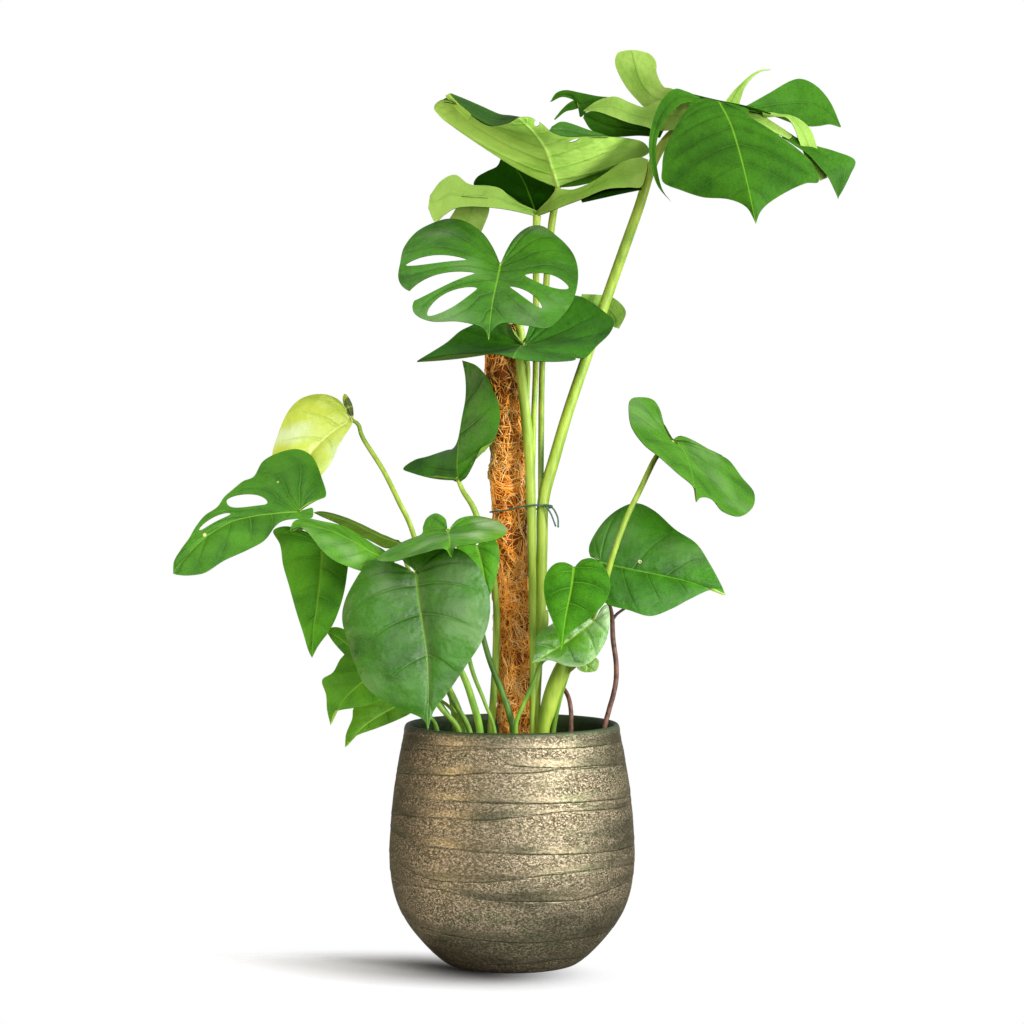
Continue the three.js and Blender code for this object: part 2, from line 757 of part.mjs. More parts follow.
// The wire tie: a loop round the pole and the stems, then two short tails.
const TIE_LOOP = [
  [490.6, 512, -6], [494.6, 511.5, -18.2], [508, 510, -28], [520, 507, -37], [531, 505.5, -41],
  [543.5, 505, -38.2], [551.8, 506, -29], [549, 508, -8], [536, 509, 14], [520, 510, 20.7],
  [500, 511, 20.6], [491.2, 512, 8],
];
const TIE_TAILS = [
  [[543.5, 505, -38.2], [548, 505.8, -40], [553.5, 509, -41], [557.8, 518, -41], [558.2, 527.5, -41]],
  [[543.5, 505, -38.2], [547, 508.3, -39.4], [551, 514, -40.4], [555.8, 526.5, -41.2]],
];

// A point seen at (across, down), at a depth in millimetres.
function seen([across, down, depth]) {
  const scale = (EYE_DISTANCE + depth) / PICTURE_LENS;
  return new THREE.Vector3(
    (across - PICTURE_MIDDLE) * scale,
    depth,
    EYE_HEIGHT - (down - PICTURE_MIDDLE) * scale,
  );
}

// A point seen at (across, down) where the sight line meets the plane that passes "behind"
// millimetres behind the point "start" and slopes by "lie".
function seenOnPlane([across, down, behind = 0], start, [lieAcross, lieUp]) {
  const dx = (across - PICTURE_MIDDLE) / PICTURE_LENS;
  const dz = -(down - PICTURE_MIDDLE) / PICTURE_LENS;
  const level = lieUp * (EYE_HEIGHT - start.z) - lieAcross * start.x;
  const distance = (EYE_DISTANCE + start.y + behind + level) / (1 - lieAcross * dx - lieUp * dz);
  return new THREE.Vector3(dx * distance, distance - EYE_DISTANCE, EYE_HEIGHT + dz * distance);
}

// A smooth curve through the points, at the share s of its length counted in points
function onCurve(points, s) {
  const curve = new THREE.CatmullRomCurve3(points, false, "catmullrom", 0.5);
  return curve.getPoint(Math.min(Math.max(s, 0), 1));
}

// A blade's rib and margins as points in space. The rib's tip closes both margins.
function bladeCurves(blade) {
  const start = seen(blade.rib[0]);
  const place = (point) => (blade.lie ? seenOnPlane(point, start, blade.lie) : seen(point));
  const rib = blade.rib.map((point, i) => (i === 0 ? start : place(point)));
  const tip = rib[rib.length - 1];
  return { rib, right: [...blade.right.map(place), tip], left: [...blade.left.map(place), tip] };
}

// How far along the rib the row that ends at the share s of a margin starts.
function ribShare(s, fanShare) {
  return s > fanShare ? ((s - fanShare) / (1 - fanShare)) ** RIB_CROWDING : 0;
}

// The edges of a slit at the share t of the way from rib to margin: its middle moves along the
// margin with t, and it swells as a half sine, of which an open slit has the first OPEN_SHARE.
function slitEdge([point, width, from, to, lean], side, t, points) {
  const along = Math.min(Math.max((t - from) / (Math.min(to, 1) - from), 0), 1);
  const outside = t <= from || t >= to;
  const swell = outside ? 0 : Math.sin(Math.PI * along * (to > 1 ? OPEN_SHARE : 1)) ** 0.6;
  return (point + lean * (t - 1) + (side * swell * width) / 2) / points;
}

// One half of a blade as grids of points, one grid for each finger between its slits. A row runs
// from the rib to the margin, arched up by a parabola and bowed back towards the stalk.
function halfGrids(blade, curves, side, otherSlits, columns) {
  const margin = curves[side];
  const points = margin.length - 1;
  const fanShare = (points - blade.ribs) / points;
  const slits = (side === "right" ? blade.cutsRight : blade.cutsLeft) ?? [];
  const up = new THREE.Vector3(...blade.up).normalize();
  const shares = new Set(Array.from({ length: columns + 1 }, (_, i) => i / columns));
  slits.forEach(([, , from, to]) => {
    shares.add(from);
    shares.add(Math.min(to, 1));
  });
  const ts = [...shares].sort((a, b) => a - b);
  // The rows meet the rib at the same places on both halves.
  const rootOf = (slit) => slitEdge(slit, 0, 0, points);
  const rows = Array.from({ length: points + 1 }, (_, i) => i / points);
  otherSlits.forEach((share) => {
    rows.push(fanShare + (1 - fanShare) * share ** (1 / RIB_CROWDING));
  });
  const edges = [
    () => 0,
    ...slits.flatMap((slit) => [-1, 1].map((way) => (t) => slitEdge(slit, way, t, points))),
    () => 1,
  ];
  const roots = [0, ...slits.flatMap((slit) => [rootOf(slit), rootOf(slit)]), 1];
  const grids = [];
  for (let k = 0; k < edges.length; k += 2) {
    const inside = rows.filter((s) => s > roots[k] + 1e-6 && s < roots[k + 1] - 1e-6);
    const steps = [roots[k], ...inside.sort((a, b) => a - b), roots[k + 1]];
    grids.push(
      steps.map((root) => {
        const q = (root - roots[k]) / (roots[k + 1] - roots[k]);
        return ts.map((t) => {
          const s = edges[k](t) * (1 - q) + edges[k + 1](t) * q;
          let reach = t;
          [slits[k / 2 - 1], slits[k / 2]].forEach((slit, which) => {
            if (slit && slit[3] > 1) {
              const near = which ? q : 1 - q;
              const out = Math.max((t - slit[2]) / (1 - slit[2]), 0);
              reach -= TIP_ROUNDING * near ** 4 * out ** 2;
            }
          });
          const along = ribShare(s, fanShare);
          const from = onCurve(curves.rib, along);
          const out = onCurve(margin, s).sub(from);
          const length = out.length();
          const middle = 4 * reach * (1 - reach);
          const forward = onCurve(curves.rib, along + 0.02)
            .sub(onCurve(curves.rib, along - 0.02))
            .normalize();
          const bow = Math.min(s / Math.max(fanShare, 1e-6), 1) * Math.min((1 - s) / 0.25, 1);
          return from
            .addScaledVector(out, reach)
            .addScaledVector(up, blade.arch * length * middle)
            .addScaledVector(forward, -ROW_BOW * length * middle * bow);
        });
      }),
    );
  }
  return grids;
}

// The ruled strip between two edges, with a row at each of their points
function flapGrid(flap) {
  const [a, b] = [flap.a.map(seen), flap.b.map(seen)];
  const rows = Math.max(a.length, b.length) - 1;
  return Array.from({ length: rows + 1 }, (_, i) => [onCurve(a, i / rows), onCurve(b, i / rows)]);
}

// A closed sheet of the given thickness: the grids are its top, and its underside is the top
// moved along its normals, split into triangles alike. "face" is the way the top looks.
function sheetSolid(grids, face) {
  const vertices = [];
  const keys = new Map();
  const indexOf = (p) => {
    const key = [p.x, p.y, p.z].map((v) => Math.round(v * 100)).join();
    if (!keys.has(key)) {
      keys.set(key, vertices.length);
      vertices.push(p);
    }
    return keys.get(key);
  };
  const faces = [];
  grids.forEach((grid) => {
    const ids = grid.map((row) => row.map(indexOf));
    const own = [];
    for (let i = 0; i < ids.length - 1; i += 1) {
      for (let j = 0; j < ids[i].length - 1; j += 1) {
        const [a, b, c, d] = [ids[i][j], ids[i][j + 1], ids[i + 1][j + 1], ids[i + 1][j]];
        own.push([a, b, c], [a, c, d]);
      }
    }
    faces.push(...own.filter(([a, b, c]) => a !== b && b !== c && c !== a));
  });
  const whole = new THREE.Vector3();
  faces.forEach((f) => whole.add(faceNormal(f.map((i) => vertices[i]))));
  if (whole.dot(face) < 0) faces.forEach((f) => f.reverse());
  const normals = vertices.map(() => new THREE.Vector3());
  faces.forEach((f) => {
    const normal = faceNormal(f.map((i) => vertices[i]));
    f.forEach((i) => normals[i].add(normal));
  });
  normals.forEach((normal) => normal.normalize());
  const directed = new Set(faces.flatMap(([a, b, c]) => [`${a},${b}`, `${b},${c}`, `${c},${a}`]));
  const rim = faces
    .flatMap(([a, b, c]) => [[a, b], [b, c], [c, a]])
    .filter(([i, j]) => !directed.has(`${j},${i}`));
  const count = vertices.length;
  const lower = vertices.map((p, i) => p.clone().addScaledVector(normals[i], -BLADE));
  const under = faces.map(([a, b, c]) => [a + count, c + count, b + count]);
  const walls = rim.flatMap(([i, j]) => [[j, i, i + count], [j, i + count, j + count]]);
  const solid = solidOf([...vertices, ...lower], [...faces, ...under, ...walls]);
  return { solid, start: vertices[0], normal: normals[0] };
}

function faceNormal([a, b, c]) {
  return b.clone().sub(a).cross(c.clone().sub(a));
}

function solidOf(points, triangles) {
  return new wasm.Manifold(
    new wasm.Mesh({
      numProp: 3,
      vertProperties: new Float32Array(points.flatMap((p) => [p.x, p.y, p.z])),
      triVerts: new Uint32Array(triangles.flat()),
    }),
  );
}

// A closed geometry as a solid. Its triangles on the axis that have no width are left out.
function solidFrom(geometry) {
  const bare = new THREE.BufferGeometry();
  bare.setAttribute("position", geometry.attributes.position);
  bare.setIndex(geometry.index);
  const { attributes, index } = mergeVertices(bare, 1e-3);
  const triangles = [];
  for (let i = 0; i < index.count; i += 3) triangles.push([...index.array.slice(i, i + 3)]);
  return new wasm.Manifold(
    new wasm.Mesh({
      numProp: 3,
      vertProperties: attributes.position.array,
      triVerts: new Uint32Array(triangles.filter(([a, b, c]) => a !== b && b !== c && c !== a).flat()),
    }),
  );
}

function makeBlade(blade) {
  const curves = bladeCurves(blade);
  const slitRoots = (side, slits) => {
    const points = curves[side].length - 1;
    const fanShare = (points - blade.ribs) / points;
    return (slits ?? [])
      .map((slit) => ribShare(slitEdge(slit, 0, 0, points), fanShare))
      .filter((share) => share > 0);
  };
  const grids = [
    ...halfGrids(blade, curves, "right", slitRoots("left", blade.cutsLeft), BLADE_COLUMNS),
    ...halfGrids(blade, curves, "left", slitRoots("right", blade.cutsRight), BLADE_COLUMNS).map(
      (grid) => grid.reverse(),
    ),
  ];
  const sheets = (blade.flaps ?? []).map((flap) => {
    const face = new THREE.Vector3(0, flap.back ? 1 : -1, 0);
    return sheetSolid([flapGrid(flap)], face).solid;
  });
  const { solid, start, normal } = sheetSolid(grids, new THREE.Vector3(...blade.up));
  return { solid: sheets.reduce((whole, sheet) => whole.add(sheet), solid), start, normal };
}

// The points of a round section
function ring(middle, across, forward, radius, sides) {
  const third = forward.clone().cross(across);
  return Array.from({ length: sides }, (_, k) => {
    const angle = (2 * Math.PI * k) / sides;
    return middle
      .clone()
      .addScaledVector(across, radius * Math.cos(angle))
      .addScaledVector(third, radius * Math.sin(angle));
  });
}

// A rod through the points, with its radius changing evenly through "radii" and round sections
// carried along without twist. "extra" makes it thicker all round.
function rodSolid(points, radii, steps, extra = 0) {
  const middles = Array.from({ length: steps + 1 }, (_, i) => onCurve(points, i / steps));
  let across = new THREE.Vector3(0.3, 1, 0.1);
  const vertices = middles.flatMap((middle, i) => {
    const before = middles[Math.max(i - 1, 0)];
    const forward = middles[Math.min(i + 1, steps)].clone().sub(before).normalize();
    across = across.clone().addScaledVector(forward, -across.dot(forward)).normalize();
    const place = (i / steps) * (radii.length - 1);
    const low = Math.min(Math.floor(place), radii.length - 2);
    const radius = radii[low] + (radii[low + 1] - radii[low]) * (place - low) + extra;
    return ring(middle, across, forward, radius, STALK_SIDES);
  });
  return solidOf(vertices, tubeTriangles(steps, STALK_SIDES));
}

// The triangles of a tube of rings with "sides" points each, closed by a cap at both ends.
function tubeTriangles(layers, sides) {
  const triangles = [];
  for (let i = 0; i < layers; i += 1) {
    for (let k = 0; k < sides; k += 1) {
      const [a, b] = [i * sides + k, i * sides + ((k + 1) % sides)];
      triangles.push([a, b, b + sides], [a, b + sides, a + sides]);
    }
  }
  const end = layers * sides;
  for (let k = 1; k < sides - 1; k += 1) {
    triangles.push([0, k + 1, k], [end, end + k, end + k + 1]);
  }
  return triangles;
}

// A route that ends straight below its last point, in the soil
function intoSoil(route, below = 0) {
  const points = route.map(seen);
  const foot = points[points.length - 1].clone();
  foot.z = SOIL_TOP - HOLE_DEPTH - below;
  return [...points, foot];
}

// Rods that stand in the soil, the hole that each one stands in, and rods that don't reach it
function standing(rod) {
  return trimmed(rodSolid(intoSoil(rod.route), rod.radii, rod.steps ?? rod.route.length + 2), rod);
}

function holeFor({ route, radii, steps }) {
  return rodSolid(intoSoil(route, ROOM), radii, steps ?? route.length + 2, ROOM);
}

function hanging(rod) {
  return trimmed(rodSolid(rod.route.map(seen), rod.radii, rod.steps ?? rod.route.length + 1), rod);
}

// A stalk ends ROOM away from its blade: a short block on the blade's side is cut off it.
function trimmed(solid, { route, blade }) {
  if (!blade) return solid;
  const { start, normal } = blades[blade];
  const below = seen(route[1]).sub(start).dot(normal) < 0;
  const toStalk = normal.clone().multiplyScalar(below ? -1 : 1);
  const across = new THREE.Vector3(0.3, 0.2, 1).cross(toStalk).normalize();
  const origin = start.clone().addScaledVector(toStalk, ROOM + (below ? BLADE : 0));
  const third = across.clone().cross(toStalk);
  const place = new THREE.Matrix4().makeBasis(across, toStalk, third).setPosition(origin);
  const block = new THREE.CylinderGeometry(TRIM_RADIUS, TRIM_RADIUS, TRIM_DEPTH, 8);
  return solid.subtract(solidFrom(block.translate(0, -TRIM_DEPTH / 2, 0).applyMatrix4(place)));
}

// A round geometry about the upright axis, from a profile of [radius, height]
function turned(profile, sides) {
  const points = profile.map(([radius, height]) => new THREE.Vector2(radius, height));
  return new THREE.LatheGeometry(points, sides).rotateX(Math.PI / 2);
}

// The inside of the pot is its outside moved in by the wall.
function potInside(inset) {
  return POT_OUTSIDE.map(([r, z]) => [r - POT_WALL - inset, Math.max(z, POT_FLOOR + inset)]);
}

function makePot() {
  const [foot, ...walls] = potInside(0).filter(([, z], i) => i === 0 || z > POT_FLOOR);
  const profile = [
    [0, 0], [POT_FOOT_RADIUS, 0], ...POT_OUTSIDE,
    [POT_RIM_RADIUS - 1, POT_HEIGHT - 2], [POT_RIM_RADIUS - 4, POT_HEIGHT],
    [POT_RIM_RADIUS - 7, POT_HEIGHT - 1], ...walls.reverse(), foot, [0, POT_FLOOR],
  ];
  return solidFrom(turned(profile, POT_SIDES));
}

// Soil fills the pot up to a lumpy top.
function soilHeight(x, y) {
  const broad = Math.sin(x / 17 + 1) * Math.cos(y / 13);
  return SOIL_TOP + SOIL_LUMP * (broad + 0.5 * Math.sin((x + 2 * y) / 11));
}

function makeSoil(holes) {
  const [foot, ...walls] = potInside(ROOM).filter(([, z], i) => i === 0 || z > POT_FLOOR + ROOM);
  const edge = walls.filter(([, z]) => z < SOIL_TOP);
  const top = SOIL_RINGS.map((share) => [edge[edge.length - 1][0] * share, SOIL_TOP]);
  const body = turned([[0, POT_FLOOR + ROOM], foot, ...edge, ...top], POT_SIDES);
  const place = body.attributes.position;
  for (let i = 0; i < place.count; i += 1) {
    if (place.getZ(i) > SOIL_TOP - 0.5) place.setZ(i, soilHeight(place.getX(i), place.getY(i)));
  }
  return holes.reduce((soil, hole) => soil.subtract(hole), solidFrom(body));
}

// Pole: it is built upright on its own axis, from the foot of its sleeve, and its group leans.
const poleGroup = new THREE.Group();
poleGroup.name = "pole";
poleGroup.position.set(...POLE_FOOT);
poleGroup.rotation.y = POLE_LEAN;
poleGroup.updateMatrixWorld(true);

function column(radius, bottom, top, sides) {
  return solidFrom(turned([[0, bottom], [radius, bottom], [radius, top], [0, top]], sides));
}

function poleCore() {
  return column(CORE_RADIUS, -CORE_BELOW, POLE_LENGTH + CORE_ABOVE, CORE_SIDES);
}

// Coir: a string wound round it in a steep helix pinches it, and it swells between the turns.
function poleCoir() {
  const layers = Array.from({ length: COIR_LAYERS + 1 }, (_, i) => (POLE_LENGTH * i) / COIR_LAYERS);
  const profile = [[0, 0], ...layers.map((z) => [POLE_RADIUS, z]), [0, POLE_LENGTH]];
  const sleeve = turned(profile, COIR_SIDES);
  const place = sleeve.attributes.position;
  for (let i = 0; i < place.count; i += 1) {
    const [x, y, z] = [place.getX(i), place.getY(i), place.getZ(i)];
    const turn = Math.atan2(y, x) + (2 * Math.PI * z) / POLE_TURN;
    const swell = 1 + (POLE_LUMP / POLE_RADIUS) * Math.sin(turn);
    place.setXY(i, x * swell, y * swell);
  }
  const bore = column(CORE_RADIUS + ROOM, -ROOM, POLE_LENGTH + ROOM, CORE_SIDES);
  return solidFrom(sleeve).subtract(bore);
}

// The space in the soil for the pole: its sleeve, and its core below that
function poleHole() {
  const sleeve = column(POLE_RADIUS + POLE_LUMP + ROOM, -ROOM, POLE_LENGTH, COIR_SIDES);
  const tip = column(CORE_RADIUS + ROOM, -CORE_BELOW - ROOM, POLE_LENGTH, CORE_SIDES);
  return sleeve.add(tip).transform(poleGroup.matrixWorld.toArray());
}

// The tie's loop is a tube closed on itself, and its tail springs from it.
function tie() {
  const points = TIE_LOOP.map(seen);
  const loop = new THREE.CatmullRomCurve3(points, true, "catmullrom", 0.5);
  const middles = Array.from({ length: TIE_STEPS }, (_, i) => loop.getPoint(i / TIE_STEPS));
  const vertices = middles.flatMap((middle, i) => {
    const before = middles[(i + TIE_STEPS - 1) % TIE_STEPS];
    const forward = middles[(i + 1) % TIE_STEPS].clone().sub(before).normalize();
    const across = new THREE.Vector3(0, 0, 1);
    across.addScaledVector(forward, -across.dot(forward)).normalize();
    return ring(middle, across, forward, TIE_RADIUS, TIE_SIDES);
  });
  const open = tubeTriangles(TIE_STEPS, TIE_SIDES).slice(0, 2 * TIE_STEPS * TIE_SIDES);
  const closed = open.map((f) => f.map((i) => i % (TIE_STEPS * TIE_SIDES)));
  const tails = TIE_TAILS.map((route) => hanging({ route, radii: [TIE_RADIUS, TIE_RADIUS] }));
  return tails.reduce((whole, tail) => whole.add(tail), solidOf(vertices, closed));
}

const blades = Object.fromEntries(
  Object.entries(BLADES).map(([name, blade]) => [name, makeBlade(blade)]),
);

const part = new THREE.Group();
part.name = "swiss_cheese_plant";

const LEAF_GREEN = { color: 0x2f7a36, roughness: 0.35 };
const STALK_GREEN = { color: 0x9cc35a, roughness: 0.45 };
const ROOT_BROWN = { color: 0x6b4a2e, roughness: 0.9 };

function addMesh(name, solid, { color, roughness }, group = part) {
  const made = solid.getMesh();
  const geometry = new THREE.BufferGeometry();
  const positions = new Float32Array(made.numVert * 3);
  for (let i = 0; i < made.numVert; i += 1) {
    positions.set(made.vertProperties.subarray(i * made.numProp, i * made.numProp + 3), i * 3);
  }
  geometry.setAttribute("position", new THREE.BufferAttribute(positions, 3));
  geometry.setIndex(new THREE.BufferAttribute(new Uint32Array(made.triVerts), 1));
  geometry.computeVertexNormals();
  const mesh = new THREE.Mesh(geometry, new THREE.MeshStandardMaterial({ color, roughness }));
  mesh.name = name;
  group.add(mesh);
}

const makeRod = (rod) => (rod.rooted ? standing(rod) : hanging(rod));
const stem = CLIMBING_STEM.map(makeRod).reduce((whole, rod) => whole.add(rod));
const rooted = [
  ...Object.values(STALKS), ...Object.values(ROOTS), SHEATHED_STALK,
  ...CLIMBING_STEM.filter((rod) => rod.rooted),
];

addMesh("pot", makePot(), { color: 0x6f6a52, roughness: 0.4 });
addMesh("soil", makeSoil([poleHole(), ...rooted.map(holeFor)]), { color: 0x3a2b20, roughness: 1 });
part.add(poleGroup);
addMesh("pole_core", poleCore(), { color: 0x8a6a42, roughness: 0.8 }, poleGroup);
addMesh("pole_coir", poleCoir(), { color: 0xb07236, roughness: 1 }, poleGroup);
addMesh("tie", tie(), { color: 0x2c5a4c, roughness: 0.4 });
addMesh("climbing_stem", stem, STALK_GREEN);
addMesh("sheathed_stalk", standing(SHEATHED_STALK).add(hanging(SMALL_LEAF_STALK)), STALK_GREEN);
Object.entries(ROOTS).forEach(([name, root]) => {
  const twig = { route: root.twig, radii: TWIG_RADII };
  const whole = root.twig ? standing(root).add(hanging(twig)) : standing(root);
  addMesh(name, whole, ROOT_BROWN);
});
Object.entries(STALKS).forEach(([name, stalk]) => {
  addMesh(`stalk_${name}`, standing({ ...stalk, blade: name }), STALK_GREEN);
});
Object.entries(blades).forEach(([name, { solid }]) => addMesh(`blade_${name}`, solid, LEAF_GREEN));

export default part;
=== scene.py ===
"""A swiss cheese plant (monstera) with its coir pole, in a round stoneware pot.

The leaves and stems are drawn from the same points as the solid part and are shown here as fine
surfaces: every blade is a grid of points that is a function of the way along its margin and of
the way from its rib to its margin, and every stalk is a ring carried along its route.
Lengths are in millimetres here and become metres in the meshes.
"""

import math

import bpy
import numpy as np
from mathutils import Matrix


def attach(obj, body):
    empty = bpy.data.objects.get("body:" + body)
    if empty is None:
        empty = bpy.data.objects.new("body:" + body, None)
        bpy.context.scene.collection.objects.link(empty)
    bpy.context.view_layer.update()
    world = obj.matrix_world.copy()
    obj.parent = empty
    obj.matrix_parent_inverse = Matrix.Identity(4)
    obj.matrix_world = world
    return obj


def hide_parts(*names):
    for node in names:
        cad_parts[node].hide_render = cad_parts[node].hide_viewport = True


MM = 0.001
rng = np.random.default_rng(7)

# Pot: the outside from the foot to the rim as [radius, height]. Its rings of points elsewhere:
# their heights on the inside of the wall, their radii on the floor of its hollow, and
# [radius, height] under its base.
POT_HEIGHT = 260
POT_WALL = 8
LIP_BASE = 252
POT_FLOOR = 12
POT_OUTSIDE = [
    [74, 0], [80, 4], [87, 10], [95, 18], [103, 27], [110, 35.5], [116, 44], [122.5, 55], [127, 66],
    [130.3, 77], [132.5, 88], [134.3, 103], [135, 118], [134.6, 130], [134, 140], [132.8, 160],
    [129.3, 192], [123.5, 227], [118.4, 252],
]
POT_INSIDE = [246, 235, 222, 206, 185, 160, 130, 100, 70, 44, 26, 16, POT_FLOOR]
POT_HOLLOW_FLOOR = [70.0, 30.0, 0.5]
POT_BASE = [[0.5, 1.5], [40, 1.5], [66, 1.5], [70, 0]]
POT_ROUND_STEPS = 280
POT_UP_STEPS = 230
LIP_STEPS = 14

# The pot's wavy ledges, as they look from the front: points [across, down] of the picture, from
# the left to the right. Each closes round the back at the mean height of its ends.
POT_LEDGES = [
    [[404, 750], [422, 749], [442, 751.5], [477, 750], [504, 748.5]],
    [[490, 747], [503.5, 765.5], [561, 768.5], [600, 765.5], [626, 763], [640, 744]],
    [[386, 770], [395, 772], [427, 774.5], [455, 776], [480, 773], [532, 773.5], [560, 770]],
    [[384, 776], [400, 790], [427, 799.5], [456, 801.5], [513, 804], [561, 803.5], [609, 800],
     [635, 796], [650, 788]],
    [[385, 815], [400, 814.5], [447, 818.5], [481, 821], [523, 817], [560, 812]],
    [[383, 827], [391, 829], [402, 836], [418, 845], [448, 849], [504, 854], [561, 855],
     [600, 853], [634, 844], [652, 838]],
    [[383, 852], [395, 859], [433, 881], [485, 883], [542, 876], [605, 868], [653, 862]],
    [[386, 869], [395, 879], [437, 889], [485, 900], [523, 902], [580, 900.5], [609, 890],
     [650, 874]],
    [[398, 915], [404, 916], [442, 934], [485, 941], [523, 943.5], [580, 938], [635, 926]],
    [[440, 957], [466, 963], [500, 965], [561, 959], [600, 956]],
]
LEDGE_STEP = 0.4
LEDGE_GROOVE = 0.4
LEDGE_FALL = 9
LEDGE_RISE = 3
GROOVE_WIDTH = 1.2
STRONG_LEDGES = (3, 5, 7)

# Soil
SOIL_TOP = 228
SOIL_LUMP = 3
HOLE_DEPTH = 26
SOIL_BOTTOM = 205.0
SOIL_RINGS = 60
SOIL_ROUND_STEPS = 160
CRUMBS = 900

# Pole
POLE_TOP = 698
POLE_RADIUS = 20
POLE_LUMP = 1.4
POLE_TURN = 62
POLE_FOOT = [10.2, 0, 110]
POLE_LEAN = -14 / 416
CORE_RADIUS = 8
CORE_ABOVE = 4
CORE_BELOW = 38
CORE_SIDES = 32
FIBRES = 5800
FIBRE_RADIUS = 0.48
FIBRE_STEPS = 6
FIBRE_SIDES = 3
COIR_UP_STEPS = 140
COIR_ROUND_STEPS = 48
STRAY_FIBRES = 26
STRAY_FROM = 180
COIR_LOCKS = 1300

# Leaves and stems. A blade has more columns of points at the distances NEAR_RIB from its rib and
# at the shares NEAR_SLIT of its reach from the ends of a slit. Points that are the same after
# rounding to WELD are one place.
SHEET_TOP = 0.2
SHEET_UNDER = 0.95
BLADE_STEP = 2.6
NEAR_RIB = (1.2, 2.6)
NEAR_SLIT = (0.012, 0.035)
WELD = 0.05
TIP_ROUNDING = 0.08
OPEN_SHARE = 0.84
ROW_BOW = 0.06
RIB_CROWDING = 1.1
VEIN_GROOVE = 0.6
VEIN_WIDTH = 3.4
RIB_RIDGE = 1.5
RIB_WIDTH = 1.8
STALK_SIDES = 16
STALK_STEP = 3.0
TIE_RADIUS = 0.95
TIE_STEPS = 120
TIE_SIDES = 8
TAIL_STEP = 1.5
TWIG_STEP = 2.0

# The eye that the drawn points are seen from, and its picture of 2 * PICTURE_MIDDLE pixels
EYE_DISTANCE = 2409
EYE_HEIGHT = 492
PICTURE_LENS = 2190
PICTURE_MIDDLE = 512
CAMERA_SENSOR = 36.0
CAMERA_LENS = 77.0

# The studio, in metres and watts. A light is [name, place, aim, size, power, colour].
FLOOR_MIDDLE = (-0.19, -0.11, 0)
FLOOR_STRETCH = (0.55, 1, 1)
FLOOR_FADE = (0.09, 0.175)
FLOOR_TONE = 0.93
# How far the floor's painted contact shadow reaches, in metres.
FLOOR_PAINTED_SHADE_REACH = 0.3
SURROUND_LIGHT = 0.32
LIGHTS = [
    ["key", (2.0, -0.45, 1.75), (0, 0, 0.2), (1.5, 1.5), 88, (1, 0.99, 0.98)],
    ["above", (-0.1, -0.6, 2.7), (0, 0, 0.5), (1.6, 1.6), 22, (1, 1, 1)],
    ["front", (0.1, -2.6, 1.5), (0, 0, 0.4), (1.6, 0.8), 36, (1, 1, 1)],
    ["right", (1.42, -1.44, 0.7), (0, 0, 0.3), (0.3, 1.5), 58, (1, 0.98, 0.96)],
    ["left", (-1.8, -1.02, 0.7), (0, 0, 0.3), (0.22, 1.5), 28, (1, 0.79, 0.56)],
]

